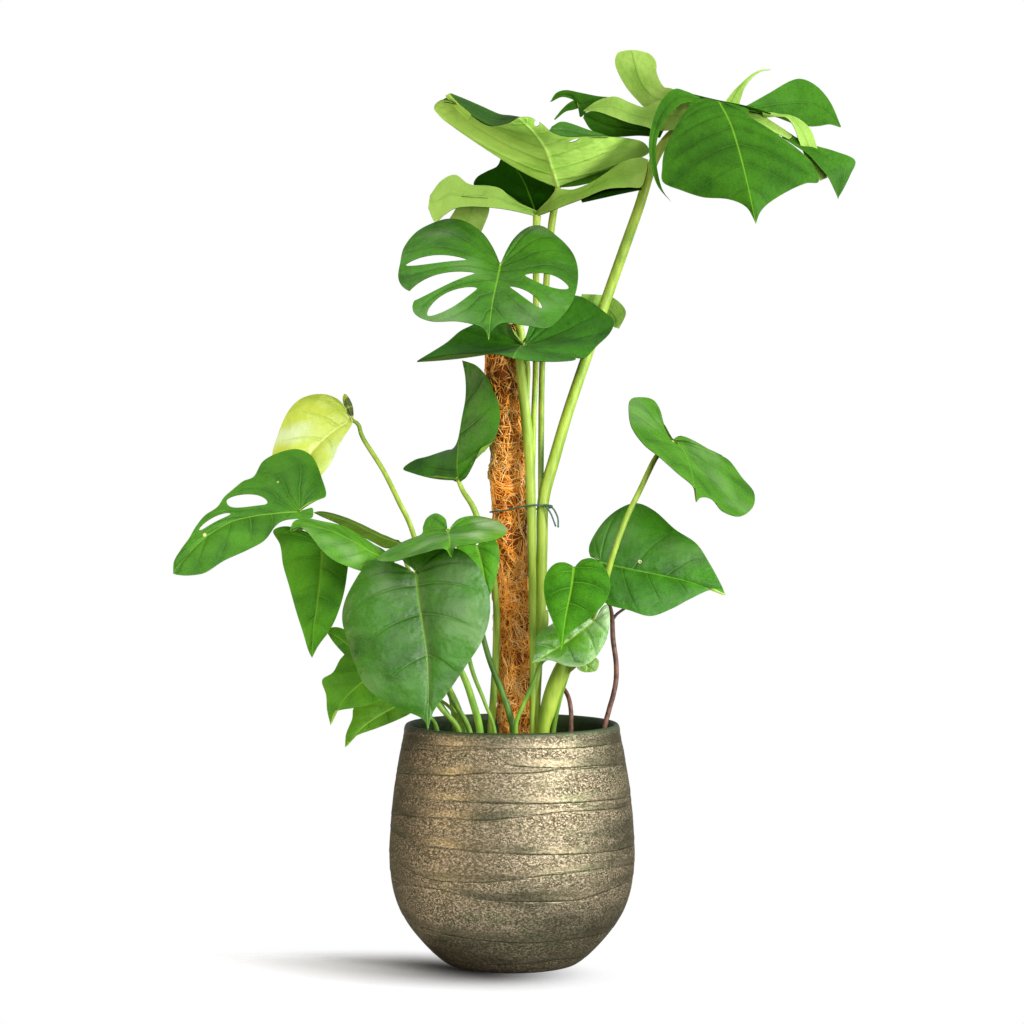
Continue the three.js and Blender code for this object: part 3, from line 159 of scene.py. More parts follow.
# Each blade: its points are [across, down, depth]. "lie" is the slope of its plane, and the
# depths of its margins count from that plane. "ribs" is the number of the last margin points
# whose rows start on the rib. Cuts are slits as [point, width, from, to, lean], and flaps are
# lobes between an edge a and an edge b that fold away from the blade.
BLADES = {
  "crown_right": {
    "up": [0.1, -0.75, 0.65],
    "arch": 0.05,
    "ribs": 9,
    "rib": [[719, 101, -15], [730, 122, -45], [739, 150, -72], [748, 186, -100], [756, 224, -122]],
    "left": [
      [705, 98, -10], [690, 99, -12], [689, 106, -18], [681, 118, -30], [671, 135, -45], [664, 152, -58],
      [662, 168, -67], [663, 182, -75], [681, 190, -84], [703, 197, -92], [728, 199, -100],
      [746, 207, -110],
    ],
    "right": [
      [735, 104, -8], [748, 109, -10], [750, 118, -22], [765, 130, -34], [782, 138, -42], [798, 149, -52],
      [812, 163, -62], [819, 181, -74], [806, 183, -80], [788, 191, -90], [769, 203, -102],
      [760, 213, -112],
    ],
    "flaps": [
      {
        "a": [
          [700, 97, -9], [686, 91, -9], [674, 89, -10], [661, 101, -18], [653, 120, -30], [649, 140, -44],
          [650, 160, -56], [657, 184, -70], [671, 201, -80],
        ],
        "b": [
          [700, 103, -14], [694, 102, -15], [681, 104, -19], [667, 117, -28], [659, 133, -39],
          [656, 150, -50], [657, 167, -60], [662, 188, -72], [671, 201, -80],
        ],
      },
      {
        "a": [[690, 94, -9], [704, 97.5, -10], [719, 101, -15], [748, 107, -9], [771, 114, -5]],
        "b": [[690, 106, 10], [704, 110, 14], [718, 111, 14], [742, 112, 12], [766, 119, 6]],
      },
      {
        "a": [
          [746, 106, -6], [769, 93, 14], [790, 81, 32], [803, 79, 38], [818, 87, 38], [831, 103, 32],
          [841, 126, 22],
        ],
        "b": [
          [750, 111, -2], [774, 116, 2], [796, 124, 8], [810, 126, 12], [820, 125.5, 15], [830, 124, 18],
          [841, 127, 22],
        ],
      },
      {
        "back": True,
        "a": [
          [762, 111, -4], [778, 114.5, 0], [790, 116, 0], [801, 121, -3], [811, 131, -8], [817, 148, -16],
          [827, 178, -26],
        ],
        "b": [
          [764, 117, 2], [780, 117.5, -6], [787, 119, -8], [794, 128, -12], [799, 142, -18],
          [808, 163, -24], [820, 181, -28],
        ],
      },
      {
        "back": True,
        "a": [[748, 112, 8], [762, 116, 4], [775, 124, 0], [793, 136, -8]],
        "b": [[748, 119, 2], [755, 124, -4], [768, 130, -8], [789, 140, -14]],
      },
      {
        "a": [
          [784, 130, -6], [800, 139, -12], [816, 145.5, -14], [835, 151, -10], [855, 160, -8],
          [850, 176, -18], [839, 198, -30],
        ],
        "b": [
          [782, 137, -10], [795, 145, -22], [808, 154, -30], [820, 167, -36], [829, 178, -38],
          [834, 188, -35], [839, 199, -31],
        ],
      },
      {
        "back": True,
        "a": [
          [722, 106, 6], [733, 92, 14], [741, 84, 20], [750, 76, 26], [760, 70.5, 30], [770, 69.5, 32],
        ],
        "b": [
          [738, 110, 6], [742, 95, 10], [746, 86, 18], [753, 77.5, 25], [761, 72, 29.5], [770, 70.5, 32],
        ],
      },
      {
        "back": True,
        "a": [
          [676, 108, 6], [650, 110, 10], [636, 99, 18], [624, 84, 24], [615.5, 66, 28], [617, 54, 30],
          [626, 51, 31],
        ],
        "b": [
          [690, 99, 0], [673, 89, 0], [664, 87, 6], [657, 74, 14], [656, 62, 22], [649, 54, 27],
          [636, 50.5, 30],
        ],
      },
      {
        "back": True,
        "a": [
          [694, 98, 0], [660, 101, 4], [645, 107.5, 8], [630, 103, 12], [615, 97, 16], [598, 101, 18],
          [584, 111, 18],
        ],
        "b": [
          [694, 128, -4], [660, 131, -4], [645, 127, -4], [628, 123, 0], [612, 117, 5], [597, 112, 12],
          [584, 112, 17],
        ],
      },
      {
        "a": [
          [664, 130, -5], [645, 126, -3], [628, 122, 1], [612, 116, 6], [596, 111, 12], [584, 113, 17],
        ],
        "b": [
          [660, 138, 12], [640, 136, 15], [620, 137, 17], [604, 136.5, 18], [591, 130, 18],
          [583, 118, 18],
        ],
      },
      {
        "a": [
          [612, 97, 18], [598, 96, 22], [580, 92.5, 26], [566, 90, 30], [556, 93, 32], [550, 102, 34],
        ],
        "b": [
          [600, 103, 16], [589, 108, 20], [580, 117, 24], [577, 103, 28], [563, 97, 31], [551, 102, 34],
        ],
      },
      {
        "a": [[580, 98, 27], [570, 102, 30], [562, 109, 32], [554, 119, 33]],
        "b": [[579, 108, 27], [572, 110, 29], [565, 112, 32], [555, 120, 33]],
      },
    ],
  },
  "crown_left": {
    "up": [0.1, 0.6, 0.8],
    "arch": -0.03,
    "ribs": 10,
    "rib": [[558, 187, 30], [552, 168, -5], [545, 148, -45], [534, 132, -85], [518, 117, -125]],
    "left": [
      [556, 185, 32], [546, 177, 30], [533, 174, 26], [520, 164, 15], [509, 153, 0], [492, 144, -15],
      [473, 136.5, -30], [454, 126, -42], [440, 116, -52], [434, 107, -60], [441, 100, -72],
      [452, 101, -85], [466, 111, -92], [480, 120, -98], [492, 125, -105], [507, 123, -115],
    ],
    "right": [
      [560, 185, 32], [575, 180, 34], [600, 171, 38], [622, 163, 38], [640, 157, 34], [649, 151, 25],
      [643, 142, 5], [627, 138, -12], [606, 136, -30], [585, 136, -48], [565, 136, -65], [551, 131, -85],
      [541, 122, -100], [530, 117, -115],
    ],
    "cutsRight": [[9.2, 0.3, 2 / 3, 0.92, 0], [12.3, 0.5, 0.45, 1.05, 0.3]],
    "flaps": [
      {
        "a": [
          [441, 101, -70], [455, 104, -84], [470, 114, -92], [488, 125, -102], [507, 123, -114],
          [519, 117, -124],
        ],
        "b": [
          [451, 93, -48], [466, 99, -58], [482, 106, -68], [499, 113.5, -80], [510, 115, -95],
          [520, 116.5, -118],
        ],
      },
      {
        "a": [[548, 132, -83], [565, 137, -64], [585, 137, -47], [608, 137, -30]],
        "b": [[552, 126, -60], [564, 121.5, -45], [590, 130, -30], [609, 136, -22]],
      },
      {
        "a": [[559, 183, 30], [580, 176, 30], [600, 169, 30], [624, 161, 32]],
        "b": [[560, 187, 24], [578, 185, 12], [596, 180, 8], [616, 168, 16]],
      },
      {
        "back": True,
        "a": [[446, 96, -62], [454, 105, -78], [462, 114, -90], [470, 119.5, -97]],
        "b": [[450, 93.5, -70], [459, 103, -92], [467, 109.5, -102], [472, 114, -106]],
      },
    ],
  },
  "crown_low": {
    "up": [0, -0.8, 0.6],
    "arch": 0.03,
    "ribs": 5,
    "rib": [[537, 216, 12], [531, 199, 40], [522, 178, 75], [505, 153, 110]],
    "left": [
      [535, 213, 10], [528, 207, 14], [512, 199, 24], [500, 189, 36], [487, 186, 44], [474, 185, 52],
      [477, 177, 62], [487, 171, 76], [497, 166, 88], [501, 158, 100],
    ],
    "right": [
      [539, 214, 12], [547, 205, 28], [555, 193, 54], [556, 186, 66], [548, 176, 80], [536, 166, 92],
      [521, 157, 104],
    ],
    "flaps": [
      {
        "back": True,
        "a": [
          [536.5, 211.5, 16], [512, 200, 6], [500, 189, 2], [484, 187, 0], [468, 184, -3], [455, 175, -6],
          [441, 181, -12], [430, 196, -16],
        ],
        "b": [
          [537.5, 217, 12.5], [512, 211, -6], [491, 208, -13], [470, 207, -18], [455, 209, -21],
          [445, 215, -23], [435, 222, -24], [428, 208, -21],
        ],
      },
      {
        "back": True,
        "a": [
          [537.5, 211.5, 16], [549, 200, 8], [558, 190, 6], [574, 190, 2], [595, 181, -4],
          [622, 163, -10], [640, 158, -16], [648, 160, -22],
        ],
        "b": [
          [536.5, 217, 12.5], [550, 212, -6], [565, 206, -14], [584, 199, -22], [606, 190, -28],
          [628, 188, -34], [642, 187, -38], [648, 170, -34],
        ],
      },
      {
        "a": [[580, 198, -12], [606, 187, -10], [625, 185, -16], [641, 186, -30]],
        "b": [[582, 202, -34], [600, 198, -40], [620, 193.5, -42], [642, 189, -40]],
      },
      {
        "back": True,
        "a": [[462, 196, -14], [456, 208, 2], [448, 221, 14]],
        "b": [[488, 198, -9], [489, 212, 4], [481, 233, 14]],
      },
    ],
  },
  "split_front": {
    "lie": [0.05, 1.2],
    "up": [0, -0.77, 0.64],
    "arch": 0.05,
    "ribs": 10,
    "rib": [[500.5, 264.5, -70], [498, 277], [492.5, 303], [488.5, 339]],
    "right": [
      [501.5, 261], [507, 249], [514, 238], [524, 229], [535, 225], [545, 227], [556, 235], [566, 244],
      [574, 255], [578, 269], [577.5, 285], [573, 300], [563, 315], [547.5, 327.5], [525, 325],
      [503, 322.5], [492, 330],
    ],
    "left": [
      [499, 261], [493, 248], [483, 233], [465, 221], [448, 218.5], [432, 223], [416, 232], [404, 247],
      [400, 263], [398, 280], [404, 300], [415, 314], [432, 321], [457, 321], [477, 325], [485, 330],
    ],
    "cutsRight": [[10.42, 1.05, 1 / 3, 0.905, 0.2], [12.62, 0.55, 0.19, 0.74, 1.0]],
    "cutsLeft": [
      [8.23, 0.72, 1 / 3, 0.94, 0.78], [9.98, 0.93, 0.24, 1.05, 0.85],
      [11.6, 1.25, 0.24, 0.94, 0.8],
    ],
  },
  "split_low": {
    "up": [0, -0.3, 0.95],
    "arch": -0.03,
    "ribs": 9,
    "rib": [[524, 345, -40], [521, 346, -90], [517, 350, -140], [513, 357.5, -190]],
    "left": [
      [522.5, 343, -38], [515, 336, -37], [509, 325, -33], [498, 317, -28], [484, 318, -27],
      [472, 325, -30], [460, 331, -38], [447, 342, -54], [433, 351, -74], [417, 361, -98],
      [430, 357.5, -112], [453, 354, -138], [478, 352.5, -163], [498, 354, -180],
    ],
    "right": [
      [525.5, 343, -36], [528, 333, -20], [533, 320, 2], [548, 305, 26], [565, 296, 38], [580, 296, 38],
      [594, 303, 28], [606, 312, 10], [615.5, 320, -8], [612, 332, -26], [601, 344, -50], [588, 358, -78],
      [576, 353, -95], [577, 359, -115], [558, 361, -142], [533, 360.5, -170],
    ],
    "cutsRight": [[11.9, 0.5, 0.55, 1.05, 0.6]],
    "flaps": [
      {
        "back": True,
        "a": [[578, 302, 36], [592, 312, 58], [604, 321, 60], [615, 328, 46]],
        "b": [[582, 294, 40], [600, 295, 64], [615, 299, 64], [626, 312, 54], [619, 329, 46]],
      },
    ],
  },
  "pole_side": {
    "up": [0.3, -0.9, 0.2],
    "arch": 0.05,
    "ribs": 8,
    "rib": [
      [458, 479, -22], [456.5, 466, -30], [458, 441, -34], [461, 420, -32], [465, 398, -30],
      [465, 378, -28], [462, 360.5, -30],
    ],
    "right": [
      [460, 482, -24], [466, 477, -32], [473, 464, -40], [480, 449, -46], [493, 441, -52],
      [499, 425, -54], [499, 405, -52], [493, 390, -46], [486, 376, -40], [477, 366, -34],
      [468, 362, -31],
    ],
    "left": [
      [456, 482, -16], [449, 479, 0], [431, 473, 24], [417, 474, 40], [403, 469, 56], [414, 460, 60],
      [428, 456, 52], [446, 450, 36], [461, 446, 28], [468, 425, 18], [474, 400, 8], [467, 367, -20],
    ],
  },
  "pale": {
    "lie": [-0.1, 0.5],
    "up": [0, -1, 0.4],
    "arch": 0.12,
    "ribs": 6,
    "rib": [[352, 420, -12], [335, 430], [315, 448], [290, 482]],
    "left": [
      [350, 416], [345, 407], [338, 399], [325, 394], [310, 395], [297, 401], [287, 413], [279, 431],
      [272, 455], [276, 474],
    ],
    "right": [
      [350, 416, 3], [344, 406, 5], [342.5, 398, 6], [345, 393.5, 6], [350, 399, 5], [353.5, 409, 2],
      [352.5, 423], [343.5, 438], [336, 452], [329, 466], [311, 484],
    ],
  },
  "left_split": {
    "lie": [0.2, 1.0],
    "up": [0, -0.7, 0.7],
    "arch": 0.06,
    "ribs": 9,
    "rib": [[299, 511.5, -105], [277, 513], [250, 516.5], [226, 524], [199, 543], [173, 573]],
    "right": [
      [303, 509], [313, 501], [326, 496], [322, 478], [313, 457], [298, 449], [280, 452], [263, 461],
      [254, 476], [243, 481], [233, 489], [224, 497], [217, 507], [205, 515], [196, 526], [189, 538],
      [181, 549], [174, 561],
    ],
    "left": [
      [304, 510], [312, 507.5], [313.5, 513], [311, 518], [297, 518.5], [284, 520.5], [275, 527],
      [265, 540], [247, 550], [225, 560], [206, 572], [190, 575], [178, 574.5],
    ],
    "cutsRight": [[11.25, 2.0, 1 / 3, 0.93, 0.75], [14.6, 1.6, 0.44, 0.86, 2.4]],
  },
  "left_hanging": {
    "lie": [-0.1, 0.2],
    "up": [0, -1, 0.4],
    "arch": 0.08,
    "ribs": 6,
    "rib": [[322, 545, -62], [320.5, 570], [317, 605], [313, 630], [312, 658]],
    "right": [
      [325, 541], [334, 540], [343, 547], [348, 560], [347, 575], [344, 593], [338, 613], [330, 630],
      [319, 645],
    ],
    "left": [
      [319, 541], [305, 531], [286, 526], [273, 531], [280, 545], [283, 565], [289, 586], [296, 611],
      [303, 633], [308, 650],
    ],
  },
  "left_inner": {
    "up": [0, -0.75, 0.66],
    "arch": 0.05,
    "ribs": 6,
    "rib": [[392, 560, -98], [374, 553, -118], [352, 540, -138], [322, 528, -150], [290, 530, -165]],
    "left": [
      [390, 555, -92], [383, 549, -98], [374, 544, -104], [357, 533, -112], [341, 525, -118],
      [323, 521, -128], [306, 518, -140], [294, 521, -155],
    ],
    "right": [
      [389, 565, -104], [378, 569, -120], [366, 572, -136], [350, 567, -155], [334, 560, -168],
      [321, 549, -175], [312, 537, -175], [301, 527, -170],
    ],
  },
  "left_narrow": {
    "up": [0, -0.4, 0.9],
    "arch": 0.05,
    "ribs": 5,
    "rib": [[400, 543, -88], [380, 536, -78], [355, 524, -72], [330, 515, -75], [314, 512, -84]],
    "left": [
      [399, 540, -82], [389, 537.5, -64], [370, 529, -50], [352, 519.5, -46], [333, 513, -55],
      [321, 511, -70],
    ],
    "right": [
      [398, 546, -95], [386, 548, -102], [372, 541, -104], [355, 532, -104], [338, 523, -100],
      [322, 516, -92],
    ],
  },
  "big_heart": {
    "lie": [0.0, 0.28],
    "up": [0, -1, 0.4],
    "arch": 0.1,
    "ribs": 7,
    "rib": [[416, 573, -144], [418, 597], [422, 622], [427, 655], [428.5, 690], [428, 730]],
    "right": [
      [412, 568, 1], [403, 561, 4], [401, 554, 5], [415, 549, 5], [438, 546.5, 3], [460, 549.5],
      [475, 562], [484, 577], [490, 598], [489, 621], [481, 643], [466, 666], [449, 691], [434, 711],
    ],
    "left": [
      [413, 571], [407, 569.5], [398, 564.5], [387, 560.5], [375, 559.5], [365, 566], [355, 580],
      [345, 600], [342, 619], [347, 640], [356, 667], [367, 688], [390, 705], [421, 718],
    ],
  },
  "over_heart": {
    "up": [0, -0.5, 0.85],
    "arch": 0.05,
    "ribs": 6,
    "rib": [[448, 531, -128], [449, 536, -165], [450, 544, -205], [451, 556.5, -240]],
    "right": [
      [450, 528, -122], [458, 519, -100], [472, 515.5, -90], [488, 517.5, -98], [500, 522, -118],
      [507, 530.5, -143], [498, 538.5, -170], [478, 542.5, -196], [462, 545, -216], [454, 547.5, -230],
    ],
    "left": [
      [447, 528, -120], [445.5, 518.5, -100], [436, 513, -91], [427, 517.5, -95], [423, 526, -105],
      [421, 534, -114], [405, 540.5, -130], [390, 548, -150], [377, 559, -175], [393, 561, -198],
      [413, 555.5, -213], [437, 549, -226], [446, 549.5, -234],
    ],
  },
  "behind_heart": {
    "lie": [0.0, 0.3],
    "up": [0, -1, 0.4],
    "arch": 0.1,
    "ribs": 4,
    "rib": [[477, 546, -52], [481, 560], [485, 578], [488, 600]],
    "right": [[479, 543], [488, 537], [496, 541], [499.5, 552], [498.5, 567], [495, 582], [491, 593]],
    "left": [[475, 542], [466, 538], [457, 545], [457, 560], [465, 577], [478, 592]],
  },
  "base_upper": {
    "lie": [0.1, 0.5],
    "up": [0, -1, 0.4],
    "arch": 0.08,
    "ribs": 4,
    "rib": [[383, 670, -80], [360, 684], [342, 702], [330.5, 725]],
    "left": [
      [380, 664], [368, 652], [352, 650], [341, 658], [333, 672], [322, 680], [326, 695], [327, 710],
    ],
    "right": [[386, 674], [392, 685], [386, 697], [372, 704], [353, 708], [336, 712]],
  },
  "base_low": {
    "lie": [0.1, 0.6],
    "up": [0, -1, 0.4],
    "arch": 0.06,
    "ribs": 4,
    "rib": [[410, 700, -55], [385, 712], [363, 727], [345, 747]],
    "left": [[406, 696], [393, 694], [375, 699], [355, 706], [352, 719], [346, 734]],
    "right": [[412, 704], [412, 712], [397, 720], [377, 728], [356, 736]],
  },
  "base_small": {
    "lie": [0.0, 0.5],
    "up": [0, -1, 0.4],
    "arch": 0.06,
    "ribs": 3,
    "rib": [[370, 660, -62], [350, 646], [338, 637], [326, 631]],
    "left": [[368, 655], [360, 640], [344, 629], [333, 627]],
    "right": [[369, 665], [358, 667], [345, 655], [334, 643]],
  },
  "right_upper": {
    "lie": [1.7, 1.9],
    "up": [-0.68, -0.26, 0.68],
    "arch": 0.05,
    "ribs": 7,
    "rib": [[673, 441, -30], [684, 450], [692, 472], [696.5, 502]],
    "left": [
      [671.5, 437], [665, 426], [660, 409], [653, 399.5], [642, 397], [631, 399], [629, 410], [632, 427],
      [644, 444], [660, 457], [678, 473], [694, 487],
    ],
    "right": [
      [675, 439], [683, 436], [697, 442], [714, 452], [729, 460], [742, 477], [754, 492], [753, 507],
      [740, 516], [723, 511], [712, 499], [702, 497],
    ],
  },
  "right_broad": {
    "lie": [-0.1, 0.5],
    "up": [0, -1, 0.4],
    "arch": 0.08,
    "ribs": 6,
    "rib": [[600, 562, -20], [625, 568], [655, 574], [690, 582], [725.5, 595]],
    "left": [
      [597, 559], [590, 556], [590, 543], [603, 522], [620, 508], [637, 503], [655, 511], [675, 529],
      [696, 543], [709, 562], [721, 584],
    ],
    "right": [
      [597, 565], [592, 575], [596, 592], [607, 604], [628, 610], [650, 616], [671, 609], [690, 599],
      [711, 590],
    ],
  },
  "centre_heart": {
    "lie": [0.1, 0.3],
    "up": [0, -1, 0.4],
    "arch": 0.1,
    "ribs": 5,
    "rib": [[574, 568, -100], [571, 590], [566, 615], [561.5, 650]],
    "right": [
      [576, 565], [582, 559.5], [592, 558], [602, 564], [609, 576], [610, 590], [604, 604], [588, 620],
      [569, 634],
    ],
    "left": [
      [572, 565], [564, 562], [554, 564], [546, 574], [543.5, 588], [546, 604], [551, 618], [557, 633],
    ],
  },
  "centre_glossy": {
    "lie": [0.1, 0.4],
    "up": [0, -1, 0.4],
    "arch": 0.08,
    "ribs": 5,
    "rib": [[594, 621, -76], [572, 638], [552, 651], [532, 663]],
    "left": [[590, 617], [580, 612], [565, 616], [550, 625], [539, 633], [535, 642], [534.5, 654]],
    "right": [
      [597, 615], [602, 607], [608, 605], [610, 618], [608.5, 632], [604, 645], [594.5, 658.5],
      [583, 666], [567, 666], [550, 660.5],
    ],
  },
  "centre_small": {
    "lie": [0.1, 0.4],
    "up": [0, -1, 0.4],
    "arch": 0.06,
    "ribs": 2,
    "rib": [[578, 656, -58], [585, 664], [592, 672]],
    "left": [[575, 658], [577, 668], [584, 672]],
    "right": [[581, 653], [592, 655], [599, 661], [597, 670]],
  },
}

# Each stalk: its route from its blade down to the soil, and its radii from one end to the other
# at even steps. The stems and roots are described in the same way.
STALKS = {
  "pole_side": {
    "route": [
      [458, 479, -17], [463, 491, -19], [472, 505, -24], [478, 520, -26], [490, 560, -30],
      [496, 600, -33], [496, 650, -33], [494, 690, -32], [491, 733, -30],
    ],
    "radii": [3.2, 3.5, 4, 4],
  },
  "pale": {
    "route": [
      [352, 420, -9], [358.5, 425, -1], [363.5, 439, -6], [383, 470, -24], [399, 502, -40],
      [413, 533, -45], [430, 600, -50], [448, 680, -48], [456, 733, -44],
    ],
    "radii": [2.6, 2.8, 3, 3.2],
  },
  "left_split": {
    "route": [
      [299, 511.5, -104], [308, 520, -86], [335, 537, -50], [365, 562, -32], [405, 620, -30],
      [449, 690, -34], [464, 733, -34],
    ],
    "radii": [3.4, 4, 4],
  },
  "left_hanging": {
    "route": [
      [322, 545, -61], [331, 549, -46], [350, 559, -26], [368, 574, -14], [396, 620, -8], [438, 700, -8],
      [458, 733, -8],
    ],
    "radii": [2.8, 3, 3],
  },
  "left_inner": {
    "route": [[392, 560, -96], [396, 580, -84], [412, 640, -76], [436, 700, -70], [460, 733, -62]],
    "radii": [2.8, 3, 3],
  },
  "left_narrow": {
    "route": [[400, 543, -86], [406, 562, -66], [424, 620, -62], [448, 690, -60], [470, 733, -56]],
    "radii": [2.6, 3, 3],
  },
  "big_heart": {
    "route": [
      [416, 573, -143], [423, 600, -118], [444, 640, -98], [463, 675, -88], [473, 703, -82],
      [480, 733, -76],
    ],
    "radii": [3.2, 3.8, 4.3],
  },
  "over_heart": {
    "route": [
      [448, 531, -127], [452, 552, -96], [460, 610, -76], [471, 666, -66], [485, 703, -60],
      [495, 733, -60],
    ],
    "radii": [2.8, 2, 1.8],
  },
  "behind_heart": {
    "route": [
      [477, 546, -50], [475, 562, -40], [478, 610, -46], [488, 655, -50], [505, 700, -50],
      [513.5, 733, -50],
    ],
    "radii": [2.6, 3.4, 3.8],
  },
  "base_upper": {
    "route": [[383, 670, -79], [392, 680, -66], [415, 700, -56], [430, 716, -60], [438, 733, -62]],
    "radii": [1.8, 1.8, 1.8],
  },
  "base_low": {
    "route": [[410, 700, -54], [426, 697, -51], [443, 702, -52], [455, 714, -52], [464, 733, -50]],
    "radii": [1.8, 1.8, 1.8],
  },
  "base_small": {
    "route": [[370, 660, -61], [380, 668, -44], [410, 690, -20], [430, 715, -12], [436, 733, -10]],
    "radii": [1.8, 1.8, 1.8],
  },
  "right_broad": {
    "route": [[600, 562, -19], [597, 590, -4], [580, 640, 4], [562, 690, 14], [553, 733, 16]],
    "radii": [2.6, 3, 3],
  },
  "centre_heart": {
    "route": [
      [574, 568, -99], [575, 590, -66], [574, 620, -42], [562, 660, -16], [552, 700, -8], [544, 733, -6],
    ],
    "radii": [2.6, 3, 3],
  },
  "centre_glossy": {
    "route": [
      [594, 621, -75], [592, 634, -62], [576, 650, -59], [556, 655, -59], [542, 662, -59],
      [534.5, 680, -60], [525, 701, -60], [517, 720, -60], [515.5, 733, -60],
    ],
    "radii": [2, 2.4, 2.6],
  },
}

SHEATHED_STALK = {
  "route": [
    [673, 441, -29], [664, 449.5, -30], [655, 459, -38], [640, 490, -52], [627, 517, -61],
    [614, 552, -66], [605, 582, -64], [592, 616, -52], [577, 643, -44], [562.5, 668, -42],
    [553, 692, -40], [548, 710, -40], [543.5, 733, -40],
  ],
  "radii": [2.4, 2.6, 3, 3, 3, 3.2, 3.6, 5, 8.4, 9.4, 9, 6.5, 5.2],
}

SMALL_LEAF_STALK = {
  "route": [[578, 656, -57], [577, 664, -52], [566, 674, -43]],
  "radii": [1.5, 1.8],
}

CLIMBING_STEM = [
  {
    "route": [
      [703, 112, 16], [688, 122, 22], [668, 138, 20], [653, 163, 17], [639, 207, 22], [623, 252, 30],
      [605, 303, 34], [586.5, 357, 16], [568, 412, -8], [554.5, 458, -22], [543.5, 500, -28],
      [542, 545, -29], [541, 600, -29], [538, 655, -30], [536, 700, -30], [536, 733, -30],
    ],
    "radii": [4.5, 5, 5.5, 5.8, 6, 6, 6.5, 6, 5.5, 5, 4.5],
    "rooted": True,
  },
  {
    "route": [
      [558, 187, 31], [556, 200, 35], [552, 222, 34], [548, 260, 40], [545, 305, 44], [542, 370, 20],
      [541, 450, -8], [541, 530, -22], [542, 580, -28],
    ],
    "radii": [3.2, 4.2, 3.5, 3.2, 3],
  },
  {
    "route": [
      [537, 216, 13], [536.5, 226, 12], [536, 260, 16], [536, 310, 24], [535.5, 370, -4], [534, 410, -18],
      [533, 450, -26], [532, 480, -31],
    ],
    "radii": [4.6, 3.6, 3, 3],
  },
  {
    "route": [
      [500.5, 264.5, -68], [504, 280, -46], [514, 308, -29], [521, 335, -26], [520, 360, -27],
      [524, 400, -28], [529, 450, -31], [531, 500, -33], [532, 550, -34], [533, 640, -34],
      [533, 733, -34],
    ],
    "radii": [3, 4, 5, 6, 5, 4, 3.6],
    "rooted": True,
  },
  {
    "route": [[524, 345, -39], [526, 356, -30], [528, 370, -26], [527, 400, -28]],
    "radii": [2.8, 2.6],
  },
  { "route": [[545, 610, -29], [544, 624, -30], [540, 640, -30]], "radii": [3.5, 5, 3.5] },
]

ROOTS = {
  "root_long": {
    "route": [
      [604, 588, 14], [609, 604, 8], [612, 618, 6], [613, 639, 5], [616, 662, 4], [616, 680, 3],
      [613, 696, 2], [609, 710, 1], [604, 733, 0],
    ],
    "radii": [2.2, 2.8, 2.8, 2.8],
    "twig": [[612.5, 620, 6], [617, 614, 8], [626, 607.5, 11]],
  },
  "root_short": {
    "route": [[561.5, 687, 28], [565, 690.5, 25], [568.8, 698.5, 15], [571, 712, 7], [571, 733, 6]],
    "radii": [2.4, 2.5, 2.6],
  },
}

# The tie's loop goes once round the pole and the stem, and its tails start at the stem.
TIE_LOOP = [
  [490.6, 512, -6], [494.6, 511.5, -18.2], [508, 510, -28], [520, 507, -37], [531, 505.5, -41],
  [543.5, 505, -38.2], [551.8, 506, -29], [549, 508, -8], [536, 509, 14], [520, 510, 20.7],
  [500, 511, 20.6], [491.2, 512, 8],
]

TIE_TAILS = [
  [[543.5, 505, -38.2], [548, 505.8, -40], [553.5, 509, -41], [557.8, 518, -41], [558.2, 527.5, -41]],
  [[543.5, 505, -38.2], [547, 508.3, -39.4], [551, 514, -40.4], [555.8, 526.5, -41.2]],
]

TWIG_RADII = [1.8, 1.5]
